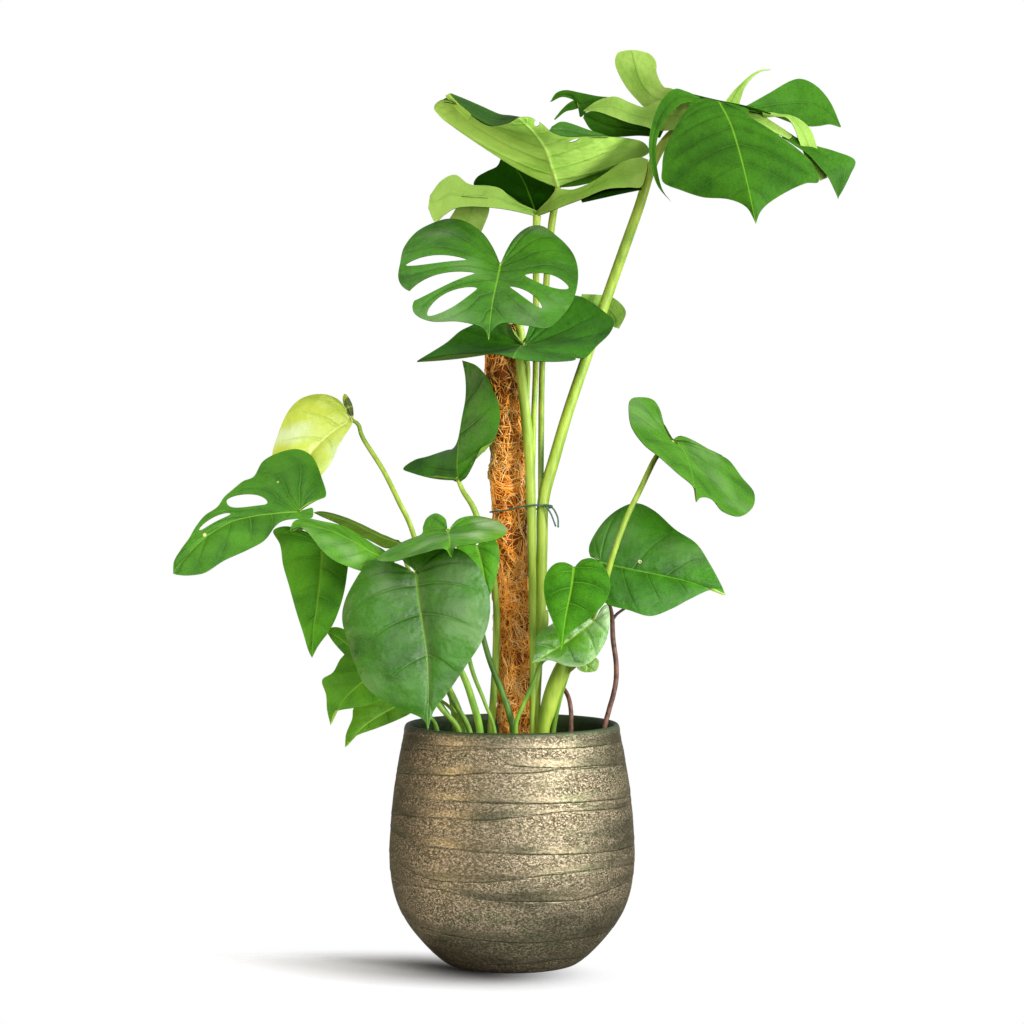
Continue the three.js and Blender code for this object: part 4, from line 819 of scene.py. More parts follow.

# How each blade looks: tone (0 dark to 1 light), painted_light (how bright its top is painted, as
# painted light and shade for how lit it is), yellow share, sheen (0 to 1), the strength of the side
# veins' lines, the number of side veins on each half, how yellow (under) and how bright
# (painted_light_under, painted light and shade too) the underside is, the share of light that
# shines through, the strength of pale patches of painted glare (painted_glare) and of the rib's own
# colour (rib). What a blade doesn't name is as in LOOK.
LOOK = {
    "tone": 0.35, "painted_light": 1.0, "yellow": 0.0, "sheen": 0.4, "lines": 0.3, "veins": 7,
    "under": 0.8, "painted_light_under": 0.85, "through": 0.12, "painted_glare": 0.0, "rib": 0.75,
}
LOOKS = {
    "crown_right": {
        "painted_light": 0.42, "painted_light_under": 0.6, "tone": 0.3, "sheen": 0.1, "veins": 9, "lines": 0.2,
    },
    "crown_left": {
        "painted_light": 0.35, "painted_light_under": 1.28, "tone": 0.3, "sheen": 0.35, "veins": 9, "under": 0.9,
    },
    "crown_low": {
        "painted_light": 0.12, "tone": 0.0, "sheen": 0.0, "veins": 6, "lines": 0.15, "under": 0.85,
        "painted_light_under": 0.55,
    },
    "split_front": {
        "painted_light": 0.55, "tone": 0.3, "sheen": 0.45, "veins": 10, "lines": 0.35, "painted_glare": 0.07,
    },
    "split_low": {"painted_light": 0.64, "tone": 0.15, "sheen": 0.45, "veins": 9, "under": 0.35},
    "pole_side": {
        "tone": 0.25, "sheen": 0.42, "veins": 6, "under": 0.5, "painted_light": 0.8,
    },
    "pale": {
        "tone": 0.8, "yellow": 0.75, "sheen": 0.9, "veins": 6, "through": 0.3, "painted_glare": 0.75,
        "painted_light": 0.8,
    },
    "left_split": {"painted_light": 0.62, "tone": 0.4, "sheen": 0.3, "veins": 9, "under": 0.5},
    "left_hanging": {"tone": 0.4, "sheen": 0.2, "veins": 7, "painted_light": 1.22, "rib": 0.5},
    "left_inner": {"painted_light": 0.6, "tone": 0.7, "sheen": 0.2, "veins": 7, "painted_glare": 0.1},
    "left_narrow": {
        "painted_light": 0.4, "tone": 0.15, "yellow": 0.15, "sheen": 0.05, "veins": 5, "under": 0.3,
    },
    "big_heart": {
        "tone": 0.25, "sheen": 0.55, "veins": 8, "painted_glare": 0.07, "painted_light": 0.58, "lines": 0.25,
    },
    "over_heart": {
        "tone": 0.45, "sheen": 0.6, "veins": 7, "lines": 0.2, "painted_glare": 0.34, "painted_light": 0.8,
    },
    "behind_heart": {"tone": 0.4, "veins": 5, "sheen": 0.2},
    "base_upper": {"tone": 0.5, "yellow": 0.02, "veins": 5, "sheen": 0.25, "painted_light": 0.9},
    "base_low": {"tone": 0.45, "yellow": 0.05, "veins": 5, "sheen": 0.25, "painted_light": 0.66},
    "base_small": {"tone": 0.4, "veins": 4},
    "right_upper": {
        "painted_light": 0.44, "tone": 0.5, "sheen": 0.15, "veins": 7, "lines": 0.2, "painted_glare": 0.04,
        "through": 0.03, "rib": 0.3, "under": 0.2, "painted_light_under": 0.4,
    },
    "right_broad": {
        "tone": 0.2, "sheen": 0.5, "veins": 7, "painted_glare": 0.05, "painted_light": 0.85, "rib": 0.5,
    },
    "centre_heart": {"painted_light": 0.72, "tone": 0.3, "sheen": 0.05, "veins": 6, "lines": 0.4},
    "centre_glossy": {
        "tone": 0.75, "sheen": 0.8, "veins": 6, "lines": 0.2, "painted_glare": 0.6, "painted_light": 0.6,
    },
    "centre_small": {
        "tone": 0.9, "sheen": 0.8, "yellow": 0.1, "veins": 3, "painted_glare": 0.2, "painted_light": 0.6,
    },
}

# Which skin a stalk has where it isn't green. The dark skin is painted shade, for stalks that lie in the
# shade of the leaves.
STALK_SKIN = {
    "pale": "lime", "pole_side": "lime", "left_hanging": "dark", "behind_heart": "dark",
}

# Marks on the leaves, seen from the front: [leaf, across, down, radius, colour]
MARKS = [
    # The two dark marks on the pale leaf are painted shade on its curled lobe; the others are spots of
    # the leaves' own.
    ["pale", 348.5, 401, 6.3, (84, 98, 44)],
    ["pale", 351, 411, 5.8, (84, 98, 44)],
    ["left_split", 274, 481.6, 1.3, (134, 156, 70)],
    ["left_split", 208.3, 534.6, 1.9, (196, 182, 120)],
    ["right_broad", 640, 561.6, 2.0, (226, 214, 178)],
    ["right_broad", 640.3, 561.8, 1.0, (120, 84, 60)],
]


def marks_of(name, depth):
    """The marks of a leaf as [place, radius, colour] in metres, at the leaf's depth."""
    found = []
    for leaf, across, down, radius, color in MARKS:
        if leaf == name:
            x, _, z = seen([[across, down, depth]])[0] * MM
            found.append([(x, 0.0, z), radius * MM, rgb(*color)])
    return found


def seen(points):
    """Points of the picture as places: across and down grow with the distance from the eye."""
    a, d, y = np.asarray(points, float).T
    scale = (EYE_DISTANCE + y) / PICTURE_LENS
    x = (a - PICTURE_MIDDLE) * scale
    return np.stack([x, y, EYE_HEIGHT - (d - PICTURE_MIDDLE) * scale], axis=-1)


def seen_on_plane(points, start, lie):
    """Where the sight lines of the points meet the plane through start with the slopes lie."""
    full = np.array([list(p) + [0.0] * (3 - len(p)) for p in points], float)
    dx = (full[:, 0] - PICTURE_MIDDLE) / PICTURE_LENS
    dz = -(full[:, 1] - PICTURE_MIDDLE) / PICTURE_LENS
    level = lie[1] * (EYE_HEIGHT - start[2]) - lie[0] * start[0]
    distance = (EYE_DISTANCE + start[1] + full[:, 2] + level) / (1 - lie[0] * dx - lie[1] * dz)
    y = distance - EYE_DISTANCE
    return np.stack([dx * distance, y, EYE_HEIGHT + dz * distance], axis=-1)


def unit(v):
    """v divided by its own length."""
    return v / np.maximum(np.linalg.norm(v, axis=-1, keepdims=True), 1e-9)


def on_curve(points, share):
    """The smooth curve through the points, at shares of its length counted in points: a cubic
    between two points whose slopes are half the step between their neighbours."""
    points = np.asarray(points, float)
    ends = [2 * points[:1] - points[1:2], points, 2 * points[-1:] - points[-2:-1]]
    padded = np.concatenate(ends)
    place = np.clip(share, 0, 1) * (len(points) - 1)
    i = np.minimum(place.astype(int), len(points) - 2)
    w = (place - i)[..., None]
    before, a, b, after = (padded[i + k] for k in range(4))
    leave, arrive = (b - before) / 2, (after - a) / 2
    bend = 3 * (b - a) - 2 * leave - arrive
    return a + w * leave + w**2 * bend + w**3 * (2 * (a - b) + leave + arrive)


def curve_length(points):
    """The length of the smooth curve through the points."""
    line = on_curve(points, np.linspace(0, 1, 200))
    return np.linalg.norm(np.diff(line, axis=0), axis=1).sum()


def blade_curves(blade):
    """The rib and both margins as places. The rib's tip closes both margins."""
    start = seen([blade["rib"][0]])[0]
    if "lie" in blade:
        place = lambda points: seen_on_plane(points, start, blade["lie"])
    else:
        place = seen
    rib = np.vstack([[start], place(blade["rib"][1:])])
    sides = {side: np.vstack([place(blade[side]), rib[-1:]]) for side in ("right", "left")}
    return {"rib": rib, **sides}


def slit_edge(slit, side, t, points):
    """The share of the margin that a slit's edge is at, for the shares t from rib to margin. The
    slit swells as a half sine, of which an open slit has the first OPEN_SHARE."""
    point, width, first, last, lean = slit
    along = np.clip((t - first) / (min(last, 1) - first), 0, 1) * (OPEN_SHARE if last > 1 else 1)
    inside = (t > first) & (t < last)
    swell = np.where(inside, np.clip(np.sin(np.pi * along), 0, None) ** 0.6, 0)
    return (point + lean * (t - 1) + side * swell * width / 2) / points


def slit_root(slit, points):
    """The share of the margin that the middle of a slit would be at on the rib."""
    return slit_edge(slit, 0, np.zeros(1), points)


def fan_share(blade, margin):
    """The share of a margin whose rows all start at the rib's first point."""
    points = len(margin) - 1
    return (points - blade["ribs"]) / points


def rib_share(s, fan):
    """How far along the rib the row that ends at the share s of a margin starts."""
    return np.clip((s - fan) / (1 - fan), 0, 1) ** RIB_CROWDING


def blade_point(blade, curves, side, s, reach):
    """The blade's surface: from the rib towards the margin, arched up by a parabola and bowed
    back towards the stalk."""
    rib, margin = curves["rib"], curves[side]
    fan = fan_share(blade, margin)
    along = rib_share(s, fan)
    start = on_curve(rib, along)
    out = on_curve(margin, s) - start
    length = np.linalg.norm(out, axis=-1, keepdims=True)
    middle = (4 * reach * (1 - reach))[..., None]
    forward = unit(on_curve(rib, along + 0.02) - on_curve(rib, along - 0.02))
    bow = np.minimum(s / max(fan, 1e-6), 1) * np.minimum((1 - s) / 0.25, 1)
    up = unit(np.array(blade["up"], float))
    arched = start + out * reach[..., None] + up * blade["arch"] * length * middle
    return arched - forward * ROW_BOW * length * middle * bow[..., None]


def blade_half(blade, curves, side, veins):
    """Half a blade as grids, one for each finger between its slits. Each grid has its points, its
    vein coordinate (a whole number halfway between two side veins), the spacing of the veins, the
    reach from rib to margin and the distance to the rib."""
    margin = curves[side]
    points = len(margin) - 1
    fan = fan_share(blade, margin)
    cuts = {"right": blade.get("cutsRight", []), "left": blade.get("cutsLeft", [])}
    slits = cuts[side]
    width = np.linalg.norm(
        on_curve(margin, np.linspace(0.2, 0.9, 9))
        - on_curve(curves["rib"], rib_share(np.linspace(0.2, 0.9, 9), fan)),
        axis=1,
    ).max()
    columns = max(int(width / BLADE_STEP), 8)
    shares = list(np.linspace(0, 1, columns + 1)) + [away / width for away in NEAR_RIB]
    for _, _, first, last, _ in slits:
        shares += [first, min(last, 1)] + [first + away for away in NEAR_SLIT]
        if last < 1:
            shares += [last - away for away in NEAR_SLIT]
    t = np.unique(np.round([v for v in shares if 0 <= v <= 1], 5))
    length = curve_length(margin)
    longest = max(curve_length(curves["right"]), curve_length(curves["left"]))
    rib_rows = max(int(longest * 0.6 / BLADE_STEP), 8)
    rows = [np.linspace(0, fan, max(int(length * fan / BLADE_STEP), 4))]
    rows.append(fan + (1 - fan) * np.linspace(0, 1, rib_rows) ** (1 / RIB_CROWDING))
    for other in ("right", "left"):
        for slit in cuts[other]:
            root = slit_root(slit, len(curves[other]) - 1)
            root = rib_share(root, fan_share(blade, curves[other]))
            rows.append(fan + (1 - fan) * root ** (1 / RIB_CROWDING))
    rows = np.unique(np.round(np.concatenate(rows), 6))
    edges = [np.zeros_like(t)]
    roots = [0.0]
    for slit in slits:
        edges += [slit_edge(slit, way, t, points) for way in (-1, 1)]
        roots += [float(slit_root(slit, points)[0])] * 2
    edges.append(np.ones_like(t))
    roots.append(1.0)
    grids = []
    vein_start = 0
    for k in range(0, len(edges), 2):
        inside = rows[(rows > roots[k] + 2e-3) & (rows < roots[k + 1] - 2e-3)]
        steps = np.concatenate([[roots[k]], inside, [roots[k + 1]]])
        q = ((steps - roots[k]) / (roots[k + 1] - roots[k]))[:, None]
        s = edges[k] * (1 - q) + edges[k + 1] * q
        reach = np.broadcast_to(t, s.shape).copy()
        for which, slit in ((1, k // 2 - 1), (0, k // 2)):
            if 0 <= slit < len(slits) and slits[slit][3] > 1:
                near = 1 - q if which else q
                first = slits[slit][2]
                out = np.clip((t - first) / (1 - first), 0, None)
                reach -= TIP_ROUNDING * near**4 * out**2
        place = blade_point(blade, curves, side, s, reach)
        count = max(round((roots[k + 1] - roots[k]) * veins), 1)
        cross = np.linalg.norm(np.gradient(place, axis=0), axis=-1)
        turn = np.abs(np.gradient(q[:, 0]))[:, None] * count
        grids.append(
            {
                "place": place,
                "vein": vein_start + q * count + 0 * s,
                "spacing": cross / np.maximum(turn, 1e-6),
                "reach": reach,
                "out": np.linalg.norm(place - place[:, :1], axis=-1),
                "along": rib_share(s, fan),
            }
        )
        vein_start += count
    return grids


def flap_grid(flap):
    """The ruled strip between two edges, in the same form as a finger of a blade, with one vein
    along its middle."""
    a, b = seen(flap["a"]), seen(flap["b"])
    u = np.linspace(0, 1, max(int(curve_length(a) / BLADE_STEP), 6))
    ends = on_curve(a, u), on_curve(b, u)
    width = np.linalg.norm(ends[1] - ends[0], axis=1)
    v = np.linspace(0, 1, max(int(width.max() / BLADE_STEP), 4))
    place = ends[0][:, None] * (1 - v)[:, None] + ends[1][:, None] * v[:, None]
    across = np.broadcast_to(v, place.shape[:2])
    return {
        "place": place,
        "vein": across,
        "spacing": width[:, None] + 0 * across,
        "reach": 0.25 + 0.5 * u[:, None] + 0 * across,
        "out": 30 + 0 * across,
        "along": 0.5 + 0 * across,
    }


def quads(rows, columns, first=0):
    """The four corners of each cell of a grid of points."""
    index = first + np.arange(rows * columns).reshape(rows, columns)
    corners = [index[:-1, :-1], index[:-1, 1:], index[1:, 1:], index[1:, :-1]]
    return np.stack(corners, axis=-1).reshape(-1, 4)


def quad_normals(place, faces):
    """Each face's normal, as long as its area: half the cross product of its diagonals."""
    a, b, c, d = (place[faces[:, k]] for k in range(4))
    return np.cross(c - a, d - b) / 2


def point_normals(place, faces, groups):
    """The normal at each point: the sum of its faces' normals over all points in its place."""
    normals = quad_normals(place, faces)
    total = np.zeros((groups.max() + 1, 3))
    for k in range(4):
        for axis in range(3):
            total[:, axis] += np.bincount(groups[faces[:, k]], normals[:, axis], len(total))
    return unit(total)[groups]


def nearest(place, others):
    """The distance from each place to the nearest of the others."""
    result = np.empty(len(place))
    for first in range(0, len(place), 1500):
        part = place[first : first + 1500]
        square = ((part[:, None] - others[None]) ** 2).sum(-1)
        result[first : first + 1500] = np.sqrt(square.min(1))
    return result


def ring_faces(rows, sides):
    """The four corners of each cell between rows of points that each close to a ring."""
    index = np.arange(rows * sides).reshape(rows, sides)
    right = np.roll(index, -1, axis=1)
    return np.stack([index[:-1], right[:-1], right[1:], index[1:]], axis=-1).reshape(-1, 4)


def circles(across, third, sides):
    """The points of a circle of radius 1 in the plane of each pair of directions."""
    angle = np.linspace(0, 2 * np.pi, sides, endpoint=False)[:, None]
    return np.cos(angle) * across[..., None, :] + np.sin(angle) * third[..., None, :]


def make_mesh(name, place, faces, floats=None, normals=None, slots=None):
    """A smooth mesh object of the points in millimetres and the faces, an array or a list, with
    float attributes."""
    faces = faces.tolist() if isinstance(faces, np.ndarray) else faces
    mesh = bpy.data.meshes.new(name)
    mesh.from_pydata((np.asarray(place) * MM).tolist(), [], faces)
    mesh.update()
    mesh.shade_smooth()
    for key, values in (floats or {}).items():
        attribute = mesh.attributes.new(key, "FLOAT", "POINT")
        attribute.data.foreach_set("value", np.asarray(values, np.float32))
    if slots is not None:
        mesh.polygons.foreach_set("material_index", np.asarray(slots, np.int32))
    if normals is not None:
        mesh.normals_split_custom_set_from_vertices(np.asarray(normals).tolist())
    made = bpy.data.objects.new(name, mesh)
    bpy.context.scene.collection.objects.link(made)
    return made


def sheet_arrays(grids, face):
    """A thin leaf sheet of the grids: its points, faces, normals, attributes and material slots.
    The side veins are grooves in its top, and the rib is a ridge under it."""
    place = np.concatenate([g["place"].reshape(-1, 3) for g in grids])
    starts = np.cumsum([0] + [g["vein"].size for g in grids])
    parts = [quads(*g["vein"].shape, first) for g, first in zip(grids, starts)]
    faces = np.concatenate(parts)
    flip = np.zeros(len(faces), bool)
    at = 0
    for g, part in zip(grids, parts):
        flip[at : at + len(part)] = g.get("flip", False)
        at += len(part)
    faces[flip] = faces[flip][:, ::-1]
    area = quad_normals(place, faces)
    if area.sum(0) @ np.asarray(face, float) < 0:
        faces = faces[:, ::-1]
    big = np.linalg.norm(quad_normals(place, faces), axis=1) > 1e-5
    _, groups = np.unique(np.round(place / WELD), axis=0, return_inverse=True)
    groups = groups.ravel()
    normals = point_normals(place, faces[big], groups)
    floats = {}
    for key in ("vein", "spacing", "reach", "out", "along"):
        floats[key] = np.concatenate([(g[key] + 0 * g["vein"]).ravel() for g in grids])
    off = np.abs(floats["vein"] % 1 - 0.5) * floats["spacing"]
    fade = np.clip((1 - floats["reach"]) / 0.15, 0, 1) * np.clip(floats["out"] / 6, 0, 1)
    groove = np.exp(-((off / VEIN_WIDTH) ** 2)) * fade
    ridge = np.exp(-((floats["out"] / RIB_WIDTH) ** 2)) * (1 - floats["along"]) ** 0.5
    top = place + normals * (-SHEET_TOP - VEIN_GROOVE * groove - 0.3 * ridge)[:, None]
    under = place - normals * (SHEET_UNDER + RIB_RIDGE * ridge + 0.25 * groove)[:, None]
    ends = np.concatenate([faces, np.roll(faces, -1, axis=1)], axis=None).reshape(2, -1)
    code = groups[ends[0]] * len(groups) + groups[ends[1]]
    back = groups[ends[1]] * len(groups) + groups[ends[0]]
    free = ~np.isin(code, back) & (groups[ends[0]] != groups[ends[1]])
    i, j = ends[0][free], ends[1][free]
    count = len(place)
    walls = np.stack([j, i, i + count, j + count], axis=-1)
    rim = nearest(place, np.unique(np.round(place[np.unique([i, j])], 1), axis=0))
    floats["rim"] = rim
    new_normals = point_normals(top, faces[big], groups), -point_normals(under, faces[big], groups)
    return {
        "place": np.concatenate([top, under]),
        "faces": np.concatenate([faces, faces[:, ::-1] + count, walls]),
        "normals": np.concatenate(new_normals),
        "floats": {key: np.concatenate([value, value]) for key, value in floats.items()},
        "slots": np.repeat([0, 1, 0], [len(faces), len(faces), len(walls)]),
    }


def joined(sheets):
    """Several sheets as one."""
    starts = np.cumsum([0] + [len(s["place"]) for s in sheets])
    keys = sheets[0]["floats"]
    return {
        "place": np.concatenate([s["place"] for s in sheets]),
        "faces": np.concatenate([s["faces"] + first for s, first in zip(sheets, starts)]),
        "normals": np.concatenate([s["normals"] for s in sheets]),
        "floats": {key: np.concatenate([s["floats"][key] for s in sheets]) for key in keys},
        "slots": np.concatenate([s["slots"] for s in sheets]),
    }


def make_leaf(name, blade):
    """A whole blade with its flaps, its top and its underside in their own materials."""
    look = {**LOOK, **LOOKS.get(name, {})}
    curves = blade_curves(blade)
    right = blade_half(blade, curves, "right", look["veins"])
    left = [{**g, "flip": True} for g in blade_half(blade, curves, "left", look["veins"])]
    sheets = [sheet_arrays(right + left, blade["up"])]
    for flap in blade.get("flaps", []):
        sheets.append(sheet_arrays([flap_grid(flap)], [0, 1 if flap.get("back") else -1, 0]))
    leaf = joined(sheets)
    made = make_mesh(
        "leaf_" + name, leaf["place"], leaf["faces"], leaf["floats"], leaf["normals"], leaf["slots"]
    )
    marks = marks_of(name, float(leaf["place"][:, 1].mean()))
    made.data.materials.append(leaf_material(name + "_top", look, False, marks))
    made.data.materials.append(leaf_material(name + "_under", look, True, marks))
    finish_piece(made, "pale_leaf" if name == "pale" else "leaf", "blade_" + name)


def finish_piece(made, slot, *nodes):
    """The piece stands for the CAD nodes: it is attached to the root, and they are hidden. The slot is
    not used.
    """
    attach(made, "root")
    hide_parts(*nodes)


class Shader:
    """A material's node tree, written as calls: each returns the node's first output."""

    def __init__(self, name):
        self.material = bpy.data.materials.new(name)
        self.material.use_nodes = True
        self.nodes = self.material.node_tree.nodes
        self.links = self.material.node_tree.links
        self.nodes.clear()
        self.place = self.node("ShaderNodeTexCoord").outputs["Object"]

    def node(self, kind, inputs=None, **settings):
        """A node with its settings. Each input is a value or another node's output."""
        made = self.nodes.new(kind)
        for key, value in settings.items():
            setattr(made, key, value)
        for key, value in (inputs or {}).items():
            if isinstance(value, bpy.types.NodeSocket):
                self.links.new(value, made.inputs[key])
            else:
                made.inputs[key].default_value = value
        return made

    def math(self, operation, a, b=0.0, c=0.0):
        return self.node("ShaderNodeMath", {0: a, 1: b, 2: c}, operation=operation).outputs[0]

    def times(self, a, b):
        return self.math("MULTIPLY", a, b)

    def smooth(self, value, low, high, start=0.0, end=1.0):
        """Start below low and end above high, with a smooth step between them."""
        inputs = {"Value": value, "From Min": low, "From Max": high, "To Min": start, "To Max": end}
        return self.node("ShaderNodeMapRange", inputs, interpolation_type="SMOOTHSTEP").outputs[0]

    def attribute(self, name):
        return self.node("ShaderNodeAttribute", attribute_name=name).outputs["Fac"]

    def scaled(self, factors, source=None):
        inputs = {0: source or self.place, 1: factors}
        return self.node("ShaderNodeVectorMath", inputs, operation="MULTIPLY").outputs[0]

    def noise(self, scale, detail=3.0, roughness=0.55, vector=None):
        inputs = {
            "Vector": vector or self.place, "Scale": scale, "Detail": detail,
            "Roughness": roughness,
        }
        return self.node("ShaderNodeTexNoise", inputs).outputs["Fac"]

    def mix(self, share, a, b):
        """Colour a where the share is 0 and colour b where it is 1."""
        made = self.node("ShaderNodeMix", {0: share}, data_type="RGBA")
        for index, value in ((6, a), (7, b)):
            if isinstance(value, bpy.types.NodeSocket):
                self.links.new(value, made.inputs[index])
            else:
                made.inputs[index].default_value = value
        return made.outputs[2]

    def bump(self, height, distance, strength=1.0):
        inputs = {"Height": height, "Distance": distance, "Strength": strength}
        return self.node("ShaderNodeBump", inputs).outputs["Normal"]

    def surface(self, color, roughness, normal=None, metallic=0.0, through=0.0, glow=None, **more):
        """The finished surface. "through" is the share of light that shines through a thin sheet,
        in the colour "glow"."""
        inputs = {"Base Color": color, "Roughness": roughness, "Metallic": metallic, **more}
        if normal is not None:
            inputs["Normal"] = normal
        shader = self.node("ShaderNodeBsdfPrincipled", inputs).outputs[0]
        if through:
            thin = self.node("ShaderNodeBsdfTranslucent", {"Color": glow}).outputs[0]
            shader = self.node("ShaderNodeMixShader", {0: through, 1: shader, 2: thin}).outputs[0]
        self.node("ShaderNodeOutputMaterial", {"Surface": shader})
        return self.material


def rgb(red, green, blue):
    """A colour of 0 to 255 as it looks on a screen, as the linear colour of the light."""
    values = np.array([red, green, blue]) / 255
    linear = np.where(values <= 0.04045, values / 12.92, ((values + 0.055) / 1.055) ** 2.4)
    return (*linear.tolist(), 1.0)


def between(a, b, share):
    """The colour at the share of the way from a to b."""
    return tuple(x + (y - x) * share for x, y in zip(a, b))


def dimmed(color, share):
    """A darker shade of the colour."""
    return tuple(value * share for value in color[:3]) + (1.0,)


def leaf_material(name, look, under, spots=()):
    """A leaf's skin: mottled green with a pale rib, faint side veins, a fine grain and a thin pale
    margin. The skin is painted a little lighter between two side veins and darker beside them, as
    painted light and shade of its quilted surface, and pale patches of painted glare lie towards its
    margin. A spot is [place, radius, colour] in metres, and is as seen from the front."""
    tone, yellow, sheen = look["tone"], look["yellow"], look["sheen"]
    deep = between(rgb(14, 66, 8), rgb(62, 130, 20), tone)
    light = between(rgb(42, 116, 18), rgb(104, 172, 36), tone)
    line = between(rgb(96, 154, 32), rgb(136, 186, 52), tone)
    if under:
        shade = look["under"]
        look = {**look, "painted_light": look["painted_light_under"]}
        deep = between(rgb(48, 84, 20), rgb(126, 176, 60), shade)
        light = between(rgb(80, 122, 34), rgb(166, 206, 94), shade)
        line = between(rgb(118, 160, 64), rgb(198, 224, 124), shade)
    # Painted light and shade: each blade's top and underside are painted brighter or darker for how lit
    # they look.
    deep = dimmed(between(deep, rgb(186, 208, 40), yellow), look["painted_light"])
    light = dimmed(between(light, rgb(226, 238, 90), yellow), look["painted_light"])
    line = dimmed(between(line, rgb(240, 246, 160), yellow), look["painted_light"] ** 0.5)
    s = Shader(name)
    broad = s.noise(18.0, 3.0)
    fine = s.noise(760.0, 4.0, 0.75)
    color = s.mix(s.smooth(broad, 0.38, 0.62), deep, light)
    vein, spacing = s.attribute("vein"), s.attribute("spacing")
    reach, out, along = s.attribute("reach"), s.attribute("out"), s.attribute("along")
    off = s.math("ABSOLUTE", s.math("SUBTRACT", s.math("FRACT", vein), 0.5))
    # Painted light: the skin between two side veins is painted lighter, as light on its quilted swell.
    swell = s.smooth(off, 0.05, 0.45)
    color = s.mix(s.times(swell, 0.42), color, light)
    off = s.times(off, spacing)
    width = s.math("MULTIPLY_ADD", reach, -0.45, 0.75)
    near = s.math("DIVIDE", off, width)
    fade = s.smooth(reach, 0.6, 0.95, 1.0, 0.0)
    side = s.times(s.smooth(near, 0.3, 1.2, 1.0, 0.0), fade)
    beside = s.times(s.smooth(near, 1.0, 4.5, 1.0, 0.0), fade)
    rib_width = s.math("MULTIPLY_ADD", along, -1.0, 1.75)
    rib = s.smooth(s.math("DIVIDE", out, rib_width), 0.4, 1.0, 1.0, 0.0)
    rim = s.smooth(s.attribute("rim"), 0.2, 0.9, 1.0, 0.0)
    grain = s.smooth(fine, 0.3, 0.72)
    color = s.mix(s.times(grain, 0.38), color, between(light, line, 0.3))
    speckle = 0.16 if under else 0.5 * (1 - yellow)
    color = s.mix(s.smooth(fine, 0.34, 0.5, speckle, 0.0), color, dimmed(deep, 0.5))
    # Painted highlight: pale patches of painted glare, stronger away from the rib, stand in for the
    # sheen's reflection.
    glare_patch = s.smooth(s.noise(17.0, 1.5, 0.4, s.scaled((1.0, 1.0, 1.8))), 0.46, 0.7)
    glare_patch = s.times(glare_patch, s.smooth(out, 6.0, 34.0, 0.25, 1.0))
    color = s.mix(s.times(glare_patch, look["painted_glare"]), color, rgb(206, 222, 184))
    # Painted shade: the skin beside the side veins is painted darker, as shade in their grooves.
    color = s.mix(s.times(beside, 0.45), color, deep)
    color = s.mix(s.times(side, look["lines"]), color, line)
    color = s.mix(s.times(rib, look["rib"]), color, line)
    color = s.mix(s.times(rim, 0.3 * look["rib"]), color, line)
    for place, size, shade in spots:
        off = s.node(
            "ShaderNodeVectorMath", {0: s.scaled((1.0, 0.0, 1.0)), 1: place}, operation="DISTANCE"
        ).outputs["Value"]
        ragged = s.math("MULTIPLY_ADD", fine, 0.4 * size, off)
        color = s.mix(s.smooth(ragged, 0.95 * size, 1.25 * size, 1.0, 0.0), color, shade)
    waves = s.times(s.noise(55.0, 2.0), 12.0)
    height = s.math("MULTIPLY_ADD", fine, 0.5, waves)
    height = s.math("MULTIPLY_ADD", beside, 1.5 if under else -1.5, height)
    normal = s.bump(height, 0.0004, 0.55)
    rough = s.smooth(fine, 0.3, 0.7, 0.5 - 0.3 * sheen, 0.6 - 0.3 * sheen)
    if under:
        rough = 0.6
    shine = between(light, rgb(150, 205, 30), 0.5)
    more = {"Specular IOR Level": 0.08 if under else 0.5 * sheen}
    return s.surface(color, rough, normal, through=look["through"], glow=shine, **more)


def stalk_material(name, light, dark, deep):
    """A stalk's skin: faint stripes along it between two greens, with darker patches."""
    s = Shader(name)
    stripes = s.noise(70.0, 2.0, 0.5, s.scaled((2.6, 2.6, 0.5)))
    patches = s.noise(16.0, 2.0)
    color = s.mix(s.smooth(stripes, 0.36, 0.68), light, dark)
    color = s.mix(s.smooth(patches, 0.46, 0.72, 0.0, 0.75), color, deep)
    color = s.mix(s.smooth(s.noise(500.0, 2.0), 0.56, 0.66, 0.0, 0.06), color, deep)
    normal = s.bump(stripes, 0.0002, 0.3)
    more = {"Specular IOR Level": 0.3}
    return s.surface(color, 0.42, normal, through=0.12, glow=light, **more)


def tube_arrays(route, radii, sides=STALK_SIDES, step=STALK_STEP):
    """A tube along the smooth curve through the route, its radius changing evenly through the
    radii. Its rings are carried along without twist."""
    count = max(int(curve_length(route) / step), 6)
    u = np.linspace(0, 1, count + 1)
    middle = on_curve(route, u)
    radius = np.interp(u * (len(radii) - 1), np.arange(len(radii)), radii)
    forward = unit(np.gradient(middle, axis=0))
    across = np.empty_like(forward)
    carried = np.array([0.3, 1.0, 0.1])
    for i, f in enumerate(forward):
        carried = carried - f * (carried @ f)
        carried = carried / np.linalg.norm(carried)
        across[i] = carried
    ring = circles(across, np.cross(forward, across), sides)
    return close_tube(middle[:, None] + ring * radius[:, None, None])


def close_tube(place):
    """The points and faces of a tube of rings, with a point in the middle of each end."""
    rings, sides = place.shape[:2]
    index = np.arange(rings * sides).reshape(rings, sides)
    right = np.roll(index, -1, axis=1)
    ends = np.stack([place[0].mean(0), place[-1].mean(0)])
    first, last = rings * sides, rings * sides + 1
    low = np.stack([right[0], index[0], np.full(sides, first), np.full(sides, first)], axis=-1)
    high = np.stack([index[-1], right[-1], np.full(sides, last), np.full(sides, last)], axis=-1)
    points = np.concatenate([place.reshape(-1, 3), ends])
    return points, ring_faces(rings, sides), np.concatenate([low, high])[:, :3]


